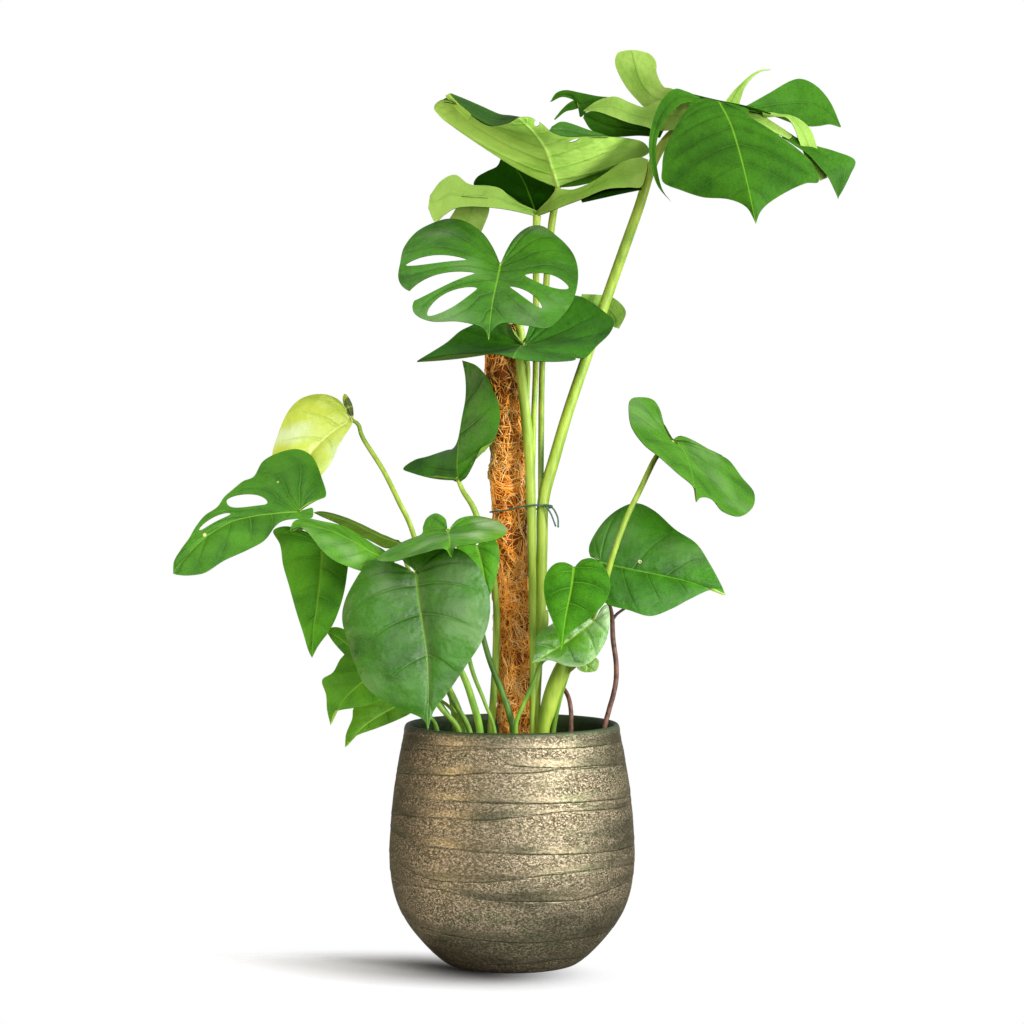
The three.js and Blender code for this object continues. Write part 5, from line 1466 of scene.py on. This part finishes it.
def tubes_mesh(name, tubes):
    """One mesh of several tubes."""
    places, faces, start = [], [], 0
    for place, walls, ends in tubes:
        places.append(place)
        faces += (walls + start).tolist() + (ends + start).tolist()
        start += len(place)
    return make_mesh(name, np.concatenate(places), faces)


def into_soil(route):
    """A route that ends straight below its last point, in the soil."""
    points = seen(route)
    foot = points[-1].copy()
    foot[2] = SOIL_TOP - HOLE_DEPTH
    return np.vstack([points, foot])


def pot_radius(z):
    """The outside's radius at a height: straight between the profile's points, smoothed."""
    radii, heights = np.array(POT_OUTSIDE).T
    shifts = np.linspace(-4, 4, 9)
    inside = [np.interp(np.clip(z + d, 0, LIP_BASE), heights, radii) for d in shifts]
    low = np.interp(z, heights, radii)
    blend = np.clip((z - 4) / 6, 0, 1)
    return low * (1 - blend) + np.mean(inside, axis=0) * blend


def ledge_heights(points, angle):
    """A ledge's height at each angle round the pot, from its points in the picture. The angle
    counts from the front towards the right. The ledge is smoothed over a few degrees."""
    a, d = np.array(points, float).T
    z = np.full(len(a), 130.0)
    x = np.zeros(len(a))
    y = np.zeros(len(a))
    for _ in range(8):
        scale = (EYE_DISTANCE + y) / PICTURE_LENS
        x = (a - PICTURE_MIDDLE) * scale
        z = np.clip(EYE_HEIGHT - (d - PICTURE_MIDDLE) * scale, 2, 250)
        y = -np.sqrt(np.maximum(pot_radius(z) ** 2 - x**2, 60.0))
    at = np.arctan2(x, -y)
    mean = (z[0] + z[-1]) / 2
    back = np.array([at[-1] + 0.7, np.pi, 2 * np.pi + at[0] - 0.7])
    heights = np.array([z[-1] * 0.6 + mean * 0.4, mean + 4, z[0] * 0.6 + mean * 0.4])
    full = np.concatenate([at, back]), np.concatenate([z, heights])
    result = 0
    for shift in np.linspace(-0.09, 0.09, 7):
        result = result + np.interp((angle + shift) % (2 * np.pi), *wrapped(*full))
    return result / 7


def wrapped(angle, value):
    """Angles brought between 0 and a full turn in order, with one more point at both ends."""
    angle = angle % (2 * np.pi)
    order = np.argsort(angle)
    angle, value = angle[order], value[order]
    long = np.concatenate([[angle[-1] - 2 * np.pi], angle, [angle[0] + 2 * np.pi]])
    return long, np.concatenate([value[-1:], value, value[:1]])


def pot_relief(angle, z):
    """How far the wavy bands stand out at each angle and height, and how high it is above the
    nearest ledge's line."""
    relief = np.zeros(np.broadcast(angle, z).shape)
    line = np.full(relief.shape, 30.0)
    for number, points in enumerate(POT_LEDGES):
        height = ledge_heights(points, angle)
        off = z - height
        strength = 1.0 if number in STRONG_LEDGES else 0.7
        below = np.where(off < 0, np.exp(-((off / LEDGE_FALL) ** 2)), 0)
        above = np.where(off >= 0, np.exp(-((off / LEDGE_RISE) ** 2)), 0)
        relief += strength * LEDGE_STEP * (above - 0.55 * below)
        relief -= strength * LEDGE_GROOVE * np.exp(-((off / GROOVE_WIDTH) ** 2))
        line = np.where(np.abs(off) < np.abs(line), off, line)
    return relief, line


def make_pot():
    """The pot's outside is its profile turned round, moved out by the relief. Its lip is a half
    circle and its inside is smooth."""
    angle = np.linspace(0, 2 * np.pi, POT_ROUND_STEPS, endpoint=False)[None]
    top = LIP_BASE - 1.0
    z = np.concatenate([[0, 1.2], np.linspace(2.4, top, POT_UP_STEPS)])[:, None]
    relief, line = pot_relief(angle, z)
    ease = np.clip(z / 12, 0, 1) * np.clip((top - z) / 10, 0, 1)
    radius = pot_radius(z) + relief * ease
    rim = float(pot_radius(np.array([top]))[0])
    turn = np.linspace(0, np.pi, LIP_STEPS)
    half = (POT_WALL - 0.6) / 2
    lip_r = (rim - half - 0.8) + half * np.cos(turn) + 0.8 * np.cos(turn / 2)
    lip_z = LIP_BASE + 0.5 + (POT_HEIGHT - LIP_BASE - 0.5) * np.sin(turn)
    inner_z = np.array(POT_INSIDE, float)
    inner_r = np.append(pot_radius(inner_z) - POT_WALL, POT_HOLLOW_FLOOR)
    inner_z = np.append(inner_z, [POT_FLOOR] * len(POT_HOLLOW_FLOOR))
    base_r, base_z = np.array(POT_BASE).T
    ones = np.ones_like(angle)
    radii = [base_r[:, None] * ones, radius, lip_r[:, None] * ones, inner_r[:, None] * ones]
    heights = [base_z[:, None] * ones, z * ones, lip_z[:, None] * ones, inner_z[:, None] * ones]
    r, h = np.concatenate(radii), np.concatenate(heights)
    x, y = r * np.sin(angle), -r * np.cos(angle)
    place = np.stack([x, y, h], axis=-1)
    rows, sides = r.shape
    first = len(base_r)
    after = first + len(z)
    inside = np.zeros((rows, sides))
    inside[after:] = 1.0
    inside[after : after + 5] = np.linspace(0.1, 0.9, 5)[:, None]

    def whole(values, other):
        """The outside's values with the other value on the rest of the pot."""
        low, high = np.full((first, sides), other), np.full((rows - after, sides), other)
        return np.concatenate([low, values, high]).ravel()

    floats = {"line": whole(line, 30.0), "inside": inside.ravel()}
    made = make_mesh("pot_glazed", place.reshape(-1, 3), ring_faces(rows, sides), floats)
    made.data.materials.append(pot_material())
    finish_piece(made, "pot", "pot")


def pot_material():
    """A reactive glaze on stoneware. Above each ledge's line the skin is smooth and dark green
    grey, and below it is pitted and flecked with pale bronze. The inside is smooth, dark green."""
    s = Shader("pot_glaze")
    ragged = s.noise(24.0, 3.0, 0.55, s.scaled((1.0, 1.0, 1.9)))
    line = s.math("ADD", s.attribute("line"), s.math("MULTIPLY_ADD", s.noise(60.0), 1.0, -0.5))
    wide = s.noise(8.0, 3.0, 0.6, s.scaled((1.0, 1.0, 3.6)))
    shifted = s.math("ADD", line, s.math("MULTIPLY_ADD", ragged, 18.0, -9.0))
    smooth_band = s.times(s.smooth(shifted, -2.0, 2.0), s.smooth(shifted, 4.0, 14.0, 1.0, 0.0))
    shine = s.math("MULTIPLY_ADD", smooth_band, -0.4, 1.0)
    pitted = s.times(shine, s.smooth(wide, 0.34, 0.6, 0.5, 1.0))
    grain = s.noise(430.0, 4.0, 0.8, s.scaled((0.8, 0.8, 1.25)))
    squiggle = s.noise(500.0, 2.0, 0.6, s.scaled((0.8, 0.8, 1.5)))
    curl = s.math("ABSOLUTE", s.math("SUBTRACT", s.noise(250.0, 2.0, 0.5), 0.5))
    curl = s.times(s.smooth(curl, 0.01, 0.04, 1.0, 0.0), s.smooth(pitted, 0.6, 1.0))
    base = s.mix(s.smooth(wide, 0.34, 0.66), rgb(76, 76, 56), rgb(114, 103, 80))
    green = s.smooth(s.noise(11.0, 3.0, 0.6, s.scaled((1.0, 1.0, 2.6))), 0.54, 0.7, 0.0, 0.6)
    base = s.mix(green, base, rgb(70, 90, 54))
    base = s.mix(s.times(smooth_band, 0.2), base, rgb(82, 86, 62))
    fleck = s.times(s.smooth(grain, 0.44, 0.6), s.smooth(pitted, 0.3, 1.0, 0.3, 0.95))
    color = s.mix(fleck, base, rgb(188, 173, 148))
    pit = s.times(s.smooth(squiggle, 0.38, 0.5, 1.0, 0.0), pitted)
    color = s.mix(s.times(pit, 0.7), color, rgb(58, 60, 36))
    color = s.mix(s.times(curl, 0.8), color, rgb(54, 54, 38))
    # Painted shadow: each ledge's groove is painted as a dark line, broken here and there, as the shadow
    # in the groove.
    broken = s.smooth(s.noise(17.0, 2.0, 0.5, s.scaled((1.0, 1.0, 2.0))), 0.36, 0.6, 0.3, 1.0)
    groove = s.times(s.smooth(s.math("ABSOLUTE", line), 0.1, 1.0, 1.0, 0.0), broken)
    color = s.mix(s.times(groove, 0.55), color, rgb(44, 54, 32))
    inside = s.attribute("inside")
    color = s.mix(inside, color, rgb(34, 52, 26))
    hollow = s.math("ADD", s.times(pit, 0.5), curl)
    height = s.times(s.math("SUBTRACT", grain, hollow), pitted)
    height = s.math("SUBTRACT", height, s.times(groove, 0.7))
    normal = s.bump(height, 0.0012, 0.6)
    roughness = s.smooth(pitted, 0.3, 1.0, 0.28, 0.38)
    metal = s.times(s.math("SUBTRACT", 1.0, inside), 0.75)
    edge = {"Specular Tint": (0.3, 0.28, 0.22, 1)}
    return s.surface(color, roughness, normal, metallic=metal, **edge)


def soil_height(x, y):
    """The soil's lumpy top."""
    broad = np.sin(x / 17 + 1) * np.cos(y / 13)
    return SOIL_TOP + SOIL_LUMP * (broad + 0.5 * np.sin((x + 2 * y) / 11))


def make_soil():
    """The soil's top as a grid of rings with finer lumps, its side below, and crumbs on it."""
    edge = float(pot_radius(np.array([SOIL_TOP - 2.0]))[0]) - POT_WALL - 0.3
    rings = np.linspace(0.002, 1, SOIL_RINGS)[:, None] * edge
    angle = np.linspace(0, 2 * np.pi, SOIL_ROUND_STEPS, endpoint=False)[None]
    around = np.stack([np.cos(angle[0]), np.sin(angle[0])], axis=-1)
    x, y = rings * np.cos(angle), rings * np.sin(angle)
    fine = np.sin(x / 3.1 + 2 * np.sin(y / 4.3)) * np.sin(y / 2.7 + np.sin(x / 5.1))
    top = soil_height(x, y) + 0.9 * fine - 0.8
    bottom = np.full((SOIL_ROUND_STEPS, 1), SOIL_BOTTOM)
    skirt = np.stack([np.hstack([radius * around, bottom]) for radius in (edge, 0.2)])
    place = np.concatenate([np.stack([x, y, top], axis=-1), skirt])
    faces = ring_faces(len(place), SOIL_ROUND_STEPS)[:, [0, 3, 2, 1]]
    crumb_place, crumb_faces = crumbs(edge - 5, len(place) * SOIL_ROUND_STEPS)
    made = make_mesh(
        "soil_crumbly",
        np.concatenate([place.reshape(-1, 3), crumb_place]),
        np.concatenate([faces, crumb_faces]),
    )
    s = Shader("soil")
    grain = s.noise(240.0, 4.0, 0.7)
    color = s.mix(s.smooth(grain, 0.35, 0.7), rgb(30, 21, 15), rgb(84, 62, 44))
    made.data.materials.append(s.surface(color, 0.95, s.bump(grain, 0.002, 0.9)))
    finish_piece(made, "soil", "soil")


def crumbs(edge, first):
    """Crumbs of bark and soil: small boxes turned and stretched at random, lying on the soil."""
    corner = np.array([[i, j, k] for k in (-1, 1) for j in (-1, 1) for i in (-1, 1)], float)
    box = np.array(
        [[0, 2, 3, 1], [4, 5, 7, 6], [0, 1, 5, 4], [2, 6, 7, 3], [0, 4, 6, 2], [1, 3, 7, 5]]
    )
    radius, angle = edge * np.sqrt(rng.random(CRUMBS)), 2 * np.pi * rng.random(CRUMBS)
    middle = np.stack([radius * np.cos(angle), radius * np.sin(angle)], axis=-1)
    height = soil_height(*middle.T) + rng.uniform(-0.6, 0.6, CRUMBS)
    size = rng.uniform([0.8, 0.5, 0.4], [3.2, 1.8, 1.1], (CRUMBS, 3))
    turn = rng.random(CRUMBS) * np.pi
    shape = corner[None] * size[:, None] * rng.uniform(0.6, 1, (CRUMBS, 8, 1))
    x = shape[..., 0] * np.cos(turn)[:, None] - shape[..., 1] * np.sin(turn)[:, None]
    y = shape[..., 0] * np.sin(turn)[:, None] + shape[..., 1] * np.cos(turn)[:, None]
    tilt = rng.uniform(-0.5, 0.5, (CRUMBS, 1))
    z = shape[..., 2] + x * tilt
    place = np.stack([x + middle[:, :1], y + middle[:, 1:], z + height[:, None]], axis=-1)
    faces = box[None] + (first + 8 * np.arange(CRUMBS))[:, None, None]
    return place.reshape(-1, 3), faces.reshape(-1, 4)


def pole_place(radius, angle, z):
    """A point of the pole's own frame, round its axis, as a place: the pole leans to one side."""
    x, y = radius * np.cos(angle), radius * np.sin(angle)
    cos, sin = math.cos(POLE_LEAN), math.sin(POLE_LEAN)
    foot_x, foot_y, foot_z = POLE_FOOT
    turned = [foot_x + x * cos + z * sin, foot_y + y, foot_z - x * sin + z * cos]
    return np.stack(turned, axis=-1)


def coir_radius(angle, z):
    """The coir swells and is pinched in along a helix, and is lumpy in between."""
    turn = angle + 2 * np.pi * z / POLE_TURN
    lumps = 0.9 * np.sin(3 * angle + z / 9) * np.sin(z / 13 + 1.3) + 0.6 * np.sin(5 * angle - z / 6)
    lumps = lumps + 0.7 * np.sin(z / 7.3 + 2 * np.sin(angle)) * np.sin(z / 21)
    return POLE_RADIUS - 0.6 + 1.2 * POLE_LUMP * np.sin(turn) + lumps


def make_coir():
    """The coir: a lumpy core, painted dark as shade between the fibres, and thousands of fibres laid
    on it. A fibre's middle line has angle and height that change evenly with a sideways wave, and it
    lifts off the core and comes back as a parabola. Fibres lie in locks, whose heading, length and
    wave they share; half of them stray far from their lock."""
    length = POLE_TOP - POLE_FOOT[2]
    z = np.linspace(0, length - 0.5, COIR_UP_STEPS)[:, None]
    angle = np.linspace(0, 2 * np.pi, COIR_ROUND_STEPS, endpoint=False)[None]
    place = pole_place(coir_radius(angle, z) - 0.4, angle, z + 0 * angle)
    core, walls, ends = close_tube(place)
    count = FIBRES
    u = np.linspace(-1, 1, FIBRE_STEPS)[None]
    locks = rng.random((COIR_LOCKS, 6))
    lock = locks[rng.integers(0, COIR_LOCKS, count)]
    loose = np.where(rng.random((count, 1)) < 0.5, 1.0, 0.16)
    start_angle = 2 * np.pi * lock[:, :1] + rng.normal(0, 0.5, (count, 1)) * loose
    start_z = (lock[:, 1:2] * length + rng.normal(0, 9, (count, 1)) * loose) % length
    heading = (lock[:, 2:3] - 0.5) * 4.4 + rng.normal(0, 0.9, (count, 1)) * loose
    reach = 6 + 11 * lock[:, 3:4] + rng.uniform(-3, 3, (count, 1))
    bow = 7 * (lock[:, 4:5] - 0.5) + rng.normal(0, 1.5, (count, 1)) * loose
    wave = bow * np.cos(np.pi * u * (0.5 + 0.7 * lock[:, 5:6]))
    fibre_z = start_z + reach * u * np.sin(heading) + wave * np.cos(heading)
    fibre_angle = start_angle + (reach * u * np.cos(heading) - wave * np.sin(heading)) / POLE_RADIUS
    high = 1.5 * lock[:, 5:6] + rng.exponential(0.5, (count, 1)) * (0.4 + 0.6 * loose)
    lift = high.clip(0, 2.4) * (1 - u**2)
    fibre_z = np.clip(fibre_z, 0.5, length - 0.7)
    radius = coir_radius(fibre_angle, fibre_z) - 0.25 + lift
    line = pole_place(radius, fibre_angle, fibre_z)
    lines = np.concatenate([line, stray_fibres(length)])
    thick = rng.uniform(0.55, 1.15, (len(lines), 1)) * FIBRE_RADIUS
    thick[count:] *= 0.8
    fibres, fibre_faces = fibre_tubes(lines, thick * (1.15 - 0.75 * u**2))
    shade = 0.5 * lock[:, 5] + 0.5 * rng.random(count)
    tint = np.repeat(np.concatenate([shade, rng.random(STRAY_FIBRES)]), FIBRE_STEPS * FIBRE_SIDES)
    start = len(core)
    mesh_faces = walls.tolist() + ends.tolist() + (fibre_faces + start).tolist()
    floats = {"tint": np.concatenate([np.full(start, -1.0), tint])}
    made = make_mesh("coir_fibres", np.concatenate([core, fibres]), mesh_faces, floats)
    made.data.materials.append(coir_material())
    finish_piece(made, "coir", "pole_coir")


def stray_fibres(length):
    """Loose ends that stand off the pole in small curls."""
    count = STRAY_FIBRES
    u = np.linspace(0, 1, FIBRE_STEPS)[None]
    angle = rng.random((count, 1)) * 2 * np.pi
    z = rng.uniform(STRAY_FROM, length - 20, (count, 1))
    far = rng.uniform(3, 9, (count, 1))
    waves = np.sin(u * np.pi * rng.uniform(0.6, 1.6, (count, 1)))
    curl = rng.uniform(0.15, 0.4, (count, 1)) * waves
    drop = rng.uniform(-14, 8, (count, 1)) * u**1.5
    return pole_place(POLE_RADIUS + far * np.sin(u * np.pi * 0.72), angle + curl, z + drop)


def fibre_tubes(lines, radii):
    """Tubes with FIBRE_SIDES sides along many lines at once."""
    forward = unit(np.gradient(lines, axis=1))
    side = unit(np.cross(forward, np.array([0.31, 0.22, 0.92])))
    ring = circles(side, np.cross(forward, side), FIBRE_SIDES)
    place = lines[..., None, :] + ring * radii[..., None, None]
    count, steps = lines.shape[:2]
    index = np.arange(count * steps * FIBRE_SIDES).reshape(count, steps, FIBRE_SIDES)
    right = np.roll(index, -1, axis=2)
    walls = [index[:, :-1], right[:, :-1], right[:, 1:], index[:, 1:]]
    return place.reshape(-1, 3), np.stack(walls, axis=-1).reshape(-1, 4)


def coir_material():
    """Coir: each fibre has its own shade of orange brown, and the core between them is painted
    dark, as painted shade in the gaps between the fibres.
    """
    s = Shader("coir")
    tint = s.attribute("tint")
    color = s.mix(s.smooth(tint, 0.05, 0.6), rgb(216, 122, 24), rgb(248, 178, 74))
    color = s.mix(s.smooth(tint, 0.55, 0.95), color, rgb(252, 220, 158))
    color = s.mix(s.smooth(s.noise(45.0, 3.0), 0.5, 0.66, 0.0, 0.25), color, rgb(176, 96, 10))
    # Painted shade: the core is painted dark, as the shade in the gaps between the fibres.
    color = s.mix(s.smooth(tint, -0.6, -0.4, 1.0, 0.0), color, rgb(112, 56, 10))
    return s.surface(color, 0.6, **{"Specular IOR Level": 0.15})


def make_cane():
    """The cane in the middle of the pole, with its cut end."""
    length = POLE_TOP - POLE_FOOT[2] + CORE_ABOVE
    z = np.array([-CORE_BELOW, 0, 200, 400, length - 1.2, length - 0.3, length])[:, None]
    radius = CORE_RADIUS - 0.1 - np.array([0, 0, 0, 0, 0, 0.4, 1.2])[:, None]
    angle = np.linspace(0, 2 * np.pi, CORE_SIDES, endpoint=False)[None]
    made = tubes_mesh("cane", [close_tube(pole_place(radius + 0 * angle, angle, z + 0 * angle))])
    s = Shader("cane")
    grain = s.noise(90.0, 4.0, 0.6, s.scaled((6.0, 6.0, 0.4)))
    color = s.mix(s.smooth(grain, 0.35, 0.65), rgb(120, 86, 48), rgb(176, 138, 86))
    made.data.materials.append(s.surface(color, 0.7))
    finish_piece(made, "cane", "pole_core")


def make_stalk(name, stalk):
    """A leaf stalk from its blade into the soil, with a thin start at the blade."""
    radii = [stalk["radii"][0] * 0.75] + list(stalk["radii"])
    route = into_soil(stalk["route"])
    made = tubes_mesh("petiole_" + name, [tube_arrays(route, radii)])
    made.data.materials.append(STALK_SKINS[STALK_SKIN.get(name, "green")])
    finish_piece(made, "stalk", "stalk_" + name)


def make_stems():
    """The climbing stem with the stalks of five leaves and a bud, and the thick sheathed stalk
    with the stalk of the smallest leaf."""
    tubes = []
    for rod in CLIMBING_STEM:
        route = into_soil(rod["route"]) if rod.get("rooted") else seen(rod["route"])
        tubes.append(tube_arrays(route, rod["radii"]))
    made = tubes_mesh("stem_climbing", tubes)
    made.data.materials.append(STALK_SKINS["lime"])
    finish_piece(made, "stalk", "climbing_stem")
    tubes = [tube_arrays(into_soil(SHEATHED_STALK["route"]), SHEATHED_STALK["radii"])]
    tubes.append(tube_arrays(seen(SMALL_LEAF_STALK["route"]), SMALL_LEAF_STALK["radii"]))
    made = tubes_mesh("stalk_sheathed", tubes)
    made.data.materials.append(STALK_SKINS["lime"])
    finish_piece(made, "stalk", "sheathed_stalk")


def make_roots():
    """Aerial roots: brown, a little knotty."""
    s = Shader("root")
    grain = s.noise(150.0, 3.0)
    color = s.mix(s.smooth(grain, 0.35, 0.65), rgb(58, 36, 27), rgb(106, 70, 54))
    skin = s.surface(color, 0.6, s.bump(grain, 0.0006, 0.7))
    for name, root in ROOTS.items():
        tubes = [tube_arrays(into_soil(root["route"]), root["radii"])]
        if "twig" in root:
            tubes.append(tube_arrays(seen(root["twig"]), TWIG_RADII, step=TWIG_STEP))
        made = tubes_mesh("aerial_" + name, tubes)
        made.data.materials.append(skin)
        finish_piece(made, "root", name)


def make_tie():
    """The tie: a coated wire loop with a doubled tail. The loop's first and last points are
    repeated, so that its smooth curve closes."""
    route = seen(TIE_LOOP)
    loop = np.vstack([route[-3:], route, route[:3]])
    count = len(route)
    u = (3 + np.linspace(0, count, TIE_STEPS + 1)[:-1]) / (len(loop) - 1)
    middle = on_curve(loop, u)
    forward = unit(np.roll(middle, -1, axis=0) - np.roll(middle, 1, axis=0))
    across = unit(np.array([0, 0, 1.0]) - forward * forward[:, 2:])
    place = middle[:, None] + TIE_RADIUS * circles(across, np.cross(forward, across), TIE_SIDES)
    index = np.arange(TIE_STEPS * TIE_SIDES).reshape(TIE_STEPS, TIE_SIDES)
    after, right = np.roll(index, -1, axis=0), np.roll(index, -1, axis=1)
    walls = np.stack([index, right, np.roll(right, -1, axis=0), after], axis=-1).reshape(-1, 4)
    tubes = [(place.reshape(-1, 3), walls, np.zeros((0, 3), int))]
    for tail in TIE_TAILS:
        tubes.append(tube_arrays(seen(tail), [TIE_RADIUS, TIE_RADIUS], TIE_SIDES, TAIL_STEP))
    made = tubes_mesh("tie_wire", tubes)
    s = Shader("tie")
    made.data.materials.append(s.surface(rgb(40, 78, 62), 0.35))
    finish_piece(made, "wire", "tie")


def area_light(name, place, aim, size, power, color=(1, 1, 1)):
    """A soft square light that looks at a point."""
    light = bpy.data.lights.new(name, "AREA")
    light.shape = "RECTANGLE"
    light.size, light.size_y = size
    light.energy = power
    light.color = color
    made = bpy.data.objects.new(name, light)
    bpy.context.scene.collection.objects.link(made)
    made.location = place
    direction = np.array(aim, float) - np.array(place, float)
    flat = math.hypot(direction[0], direction[1])
    made.rotation_euler = (math.atan2(flat, -direction[2]), 0, math.atan2(-direction[0], direction[1]))


def make_floor():
    """A white floor that fades out round a point beside the pot, on the side of its shadow, so
    that the surround shows beyond it. Its colour is painted darker where the pot shuts out the
    light: a painted contact shadow, from ambient occlusion."""
    size = FLOOR_FADE[1] * 1000 / FLOOR_STRETCH[0] + 200
    corners = np.array([[-1, -1, 0], [1, -1, 0], [1, 1, 0], [-1, 1, 0]], float) * size
    floor = make_mesh("floor", corners, [[0, 1, 2, 3]])
    s = Shader("floor")
    apart = s.node("ShaderNodeVectorMath", {0: s.place, 1: FLOOR_MIDDLE}, operation="SUBTRACT")
    apart = s.scaled(FLOOR_STRETCH, apart.outputs[0])
    far = s.node("ShaderNodeVectorMath", {0: apart}, operation="LENGTH").outputs["Value"]
    # Painted shadow: the floor's colour is darkened by ambient occlusion, as a painted contact shadow
    # round the pot.
    open_share = s.node("ShaderNodeAmbientOcclusion", {"Distance": FLOOR_PAINTED_SHADE_REACH}).outputs["AO"]
    tone = s.times(s.math("POWER", open_share, 2.0), FLOOR_TONE)
    green, blue = s.times(tone, 1.03), s.times(tone, 1.07)
    grey = s.node("ShaderNodeCombineColor", {0: tone, 1: green, 2: blue}).outputs[0]
    paper = s.node("ShaderNodeBsdfDiffuse", {"Color": grey}).outputs[0]
    clear = s.node("ShaderNodeBsdfTransparent").outputs[0]
    share = s.smooth(far, *FLOOR_FADE)
    faded = s.node("ShaderNodeMixShader", {0: share, 1: paper, 2: clear}).outputs[0]
    s.node("ShaderNodeOutputMaterial", {"Surface": faded})
    floor.data.materials.append(s.material)


def make_surround():
    """A white surround that is dimmer as a light than as a backdrop."""
    world = bpy.data.worlds.new("studio")
    world.use_nodes = True
    tree = world.node_tree
    seen_share = tree.nodes.new("ShaderNodeLightPath").outputs["Is Camera Ray"]
    strength = tree.nodes.new("ShaderNodeMapRange")
    strength.inputs["To Min"].default_value = SURROUND_LIGHT
    strength.inputs["To Max"].default_value = 1.0
    tree.links.new(seen_share, strength.inputs["Value"])
    background = tree.nodes["Background"]
    background.inputs["Color"].default_value = (1, 1, 1, 1)
    tree.links.new(strength.outputs[0], background.inputs["Strength"])
    bpy.context.scene.world = world


def make_lights():
    """A large light from the right, whose shadow lies to the left, softer ones above and in
    front, and two upright ones at the sides of the front that give the pot its two highlights."""
    for name, place, aim, size, power, color in LIGHTS:
        area_light(name, place, aim, size, power, color)
    bpy.context.scene.view_settings.view_transform = "Standard"


def make_camera():
    """The eye that the plant was drawn from, looking level to the back."""
    camera = bpy.data.cameras.new("camera")
    camera.sensor_width = CAMERA_SENSOR
    camera.lens = CAMERA_LENS
    made = bpy.data.objects.new("camera", camera)
    bpy.context.scene.collection.objects.link(made)
    made.location = (0, -EYE_DISTANCE * MM, EYE_HEIGHT * MM)
    made.rotation_euler = (math.pi / 2, 0, 0)
    bpy.context.scene.camera = made


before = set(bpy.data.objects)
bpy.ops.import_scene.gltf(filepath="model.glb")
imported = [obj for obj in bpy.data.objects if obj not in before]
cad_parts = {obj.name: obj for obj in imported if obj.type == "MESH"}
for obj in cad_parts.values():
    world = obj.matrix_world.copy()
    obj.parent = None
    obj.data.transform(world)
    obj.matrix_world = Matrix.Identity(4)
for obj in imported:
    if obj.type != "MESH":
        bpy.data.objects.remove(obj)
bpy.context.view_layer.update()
STALK_SKINS = {
    "lime": stalk_material("stalk_lime", rgb(152, 176, 62), rgb(128, 158, 50), rgb(90, 132, 38)),
    "green": stalk_material("stalk_green", rgb(124, 164, 56), rgb(96, 142, 42), rgb(66, 114, 34)),
    # Painted shade: the dark skin is a darker copy of the stalks' greens, for stalks in the leaves'
    # shade.
    "dark": stalk_material("stalk_painted_shade", rgb(84, 126, 44), rgb(50, 92, 30), rgb(38, 74, 26)),
}
make_pot()
make_soil()
make_coir()
make_cane()
make_tie()
make_stems()
make_roots()
for name, stalk in STALKS.items():
    make_stalk(name, stalk)
for name, blade in BLADES.items():
    make_leaf(name, blade)
make_floor()
make_surround()
make_lights()
make_camera()
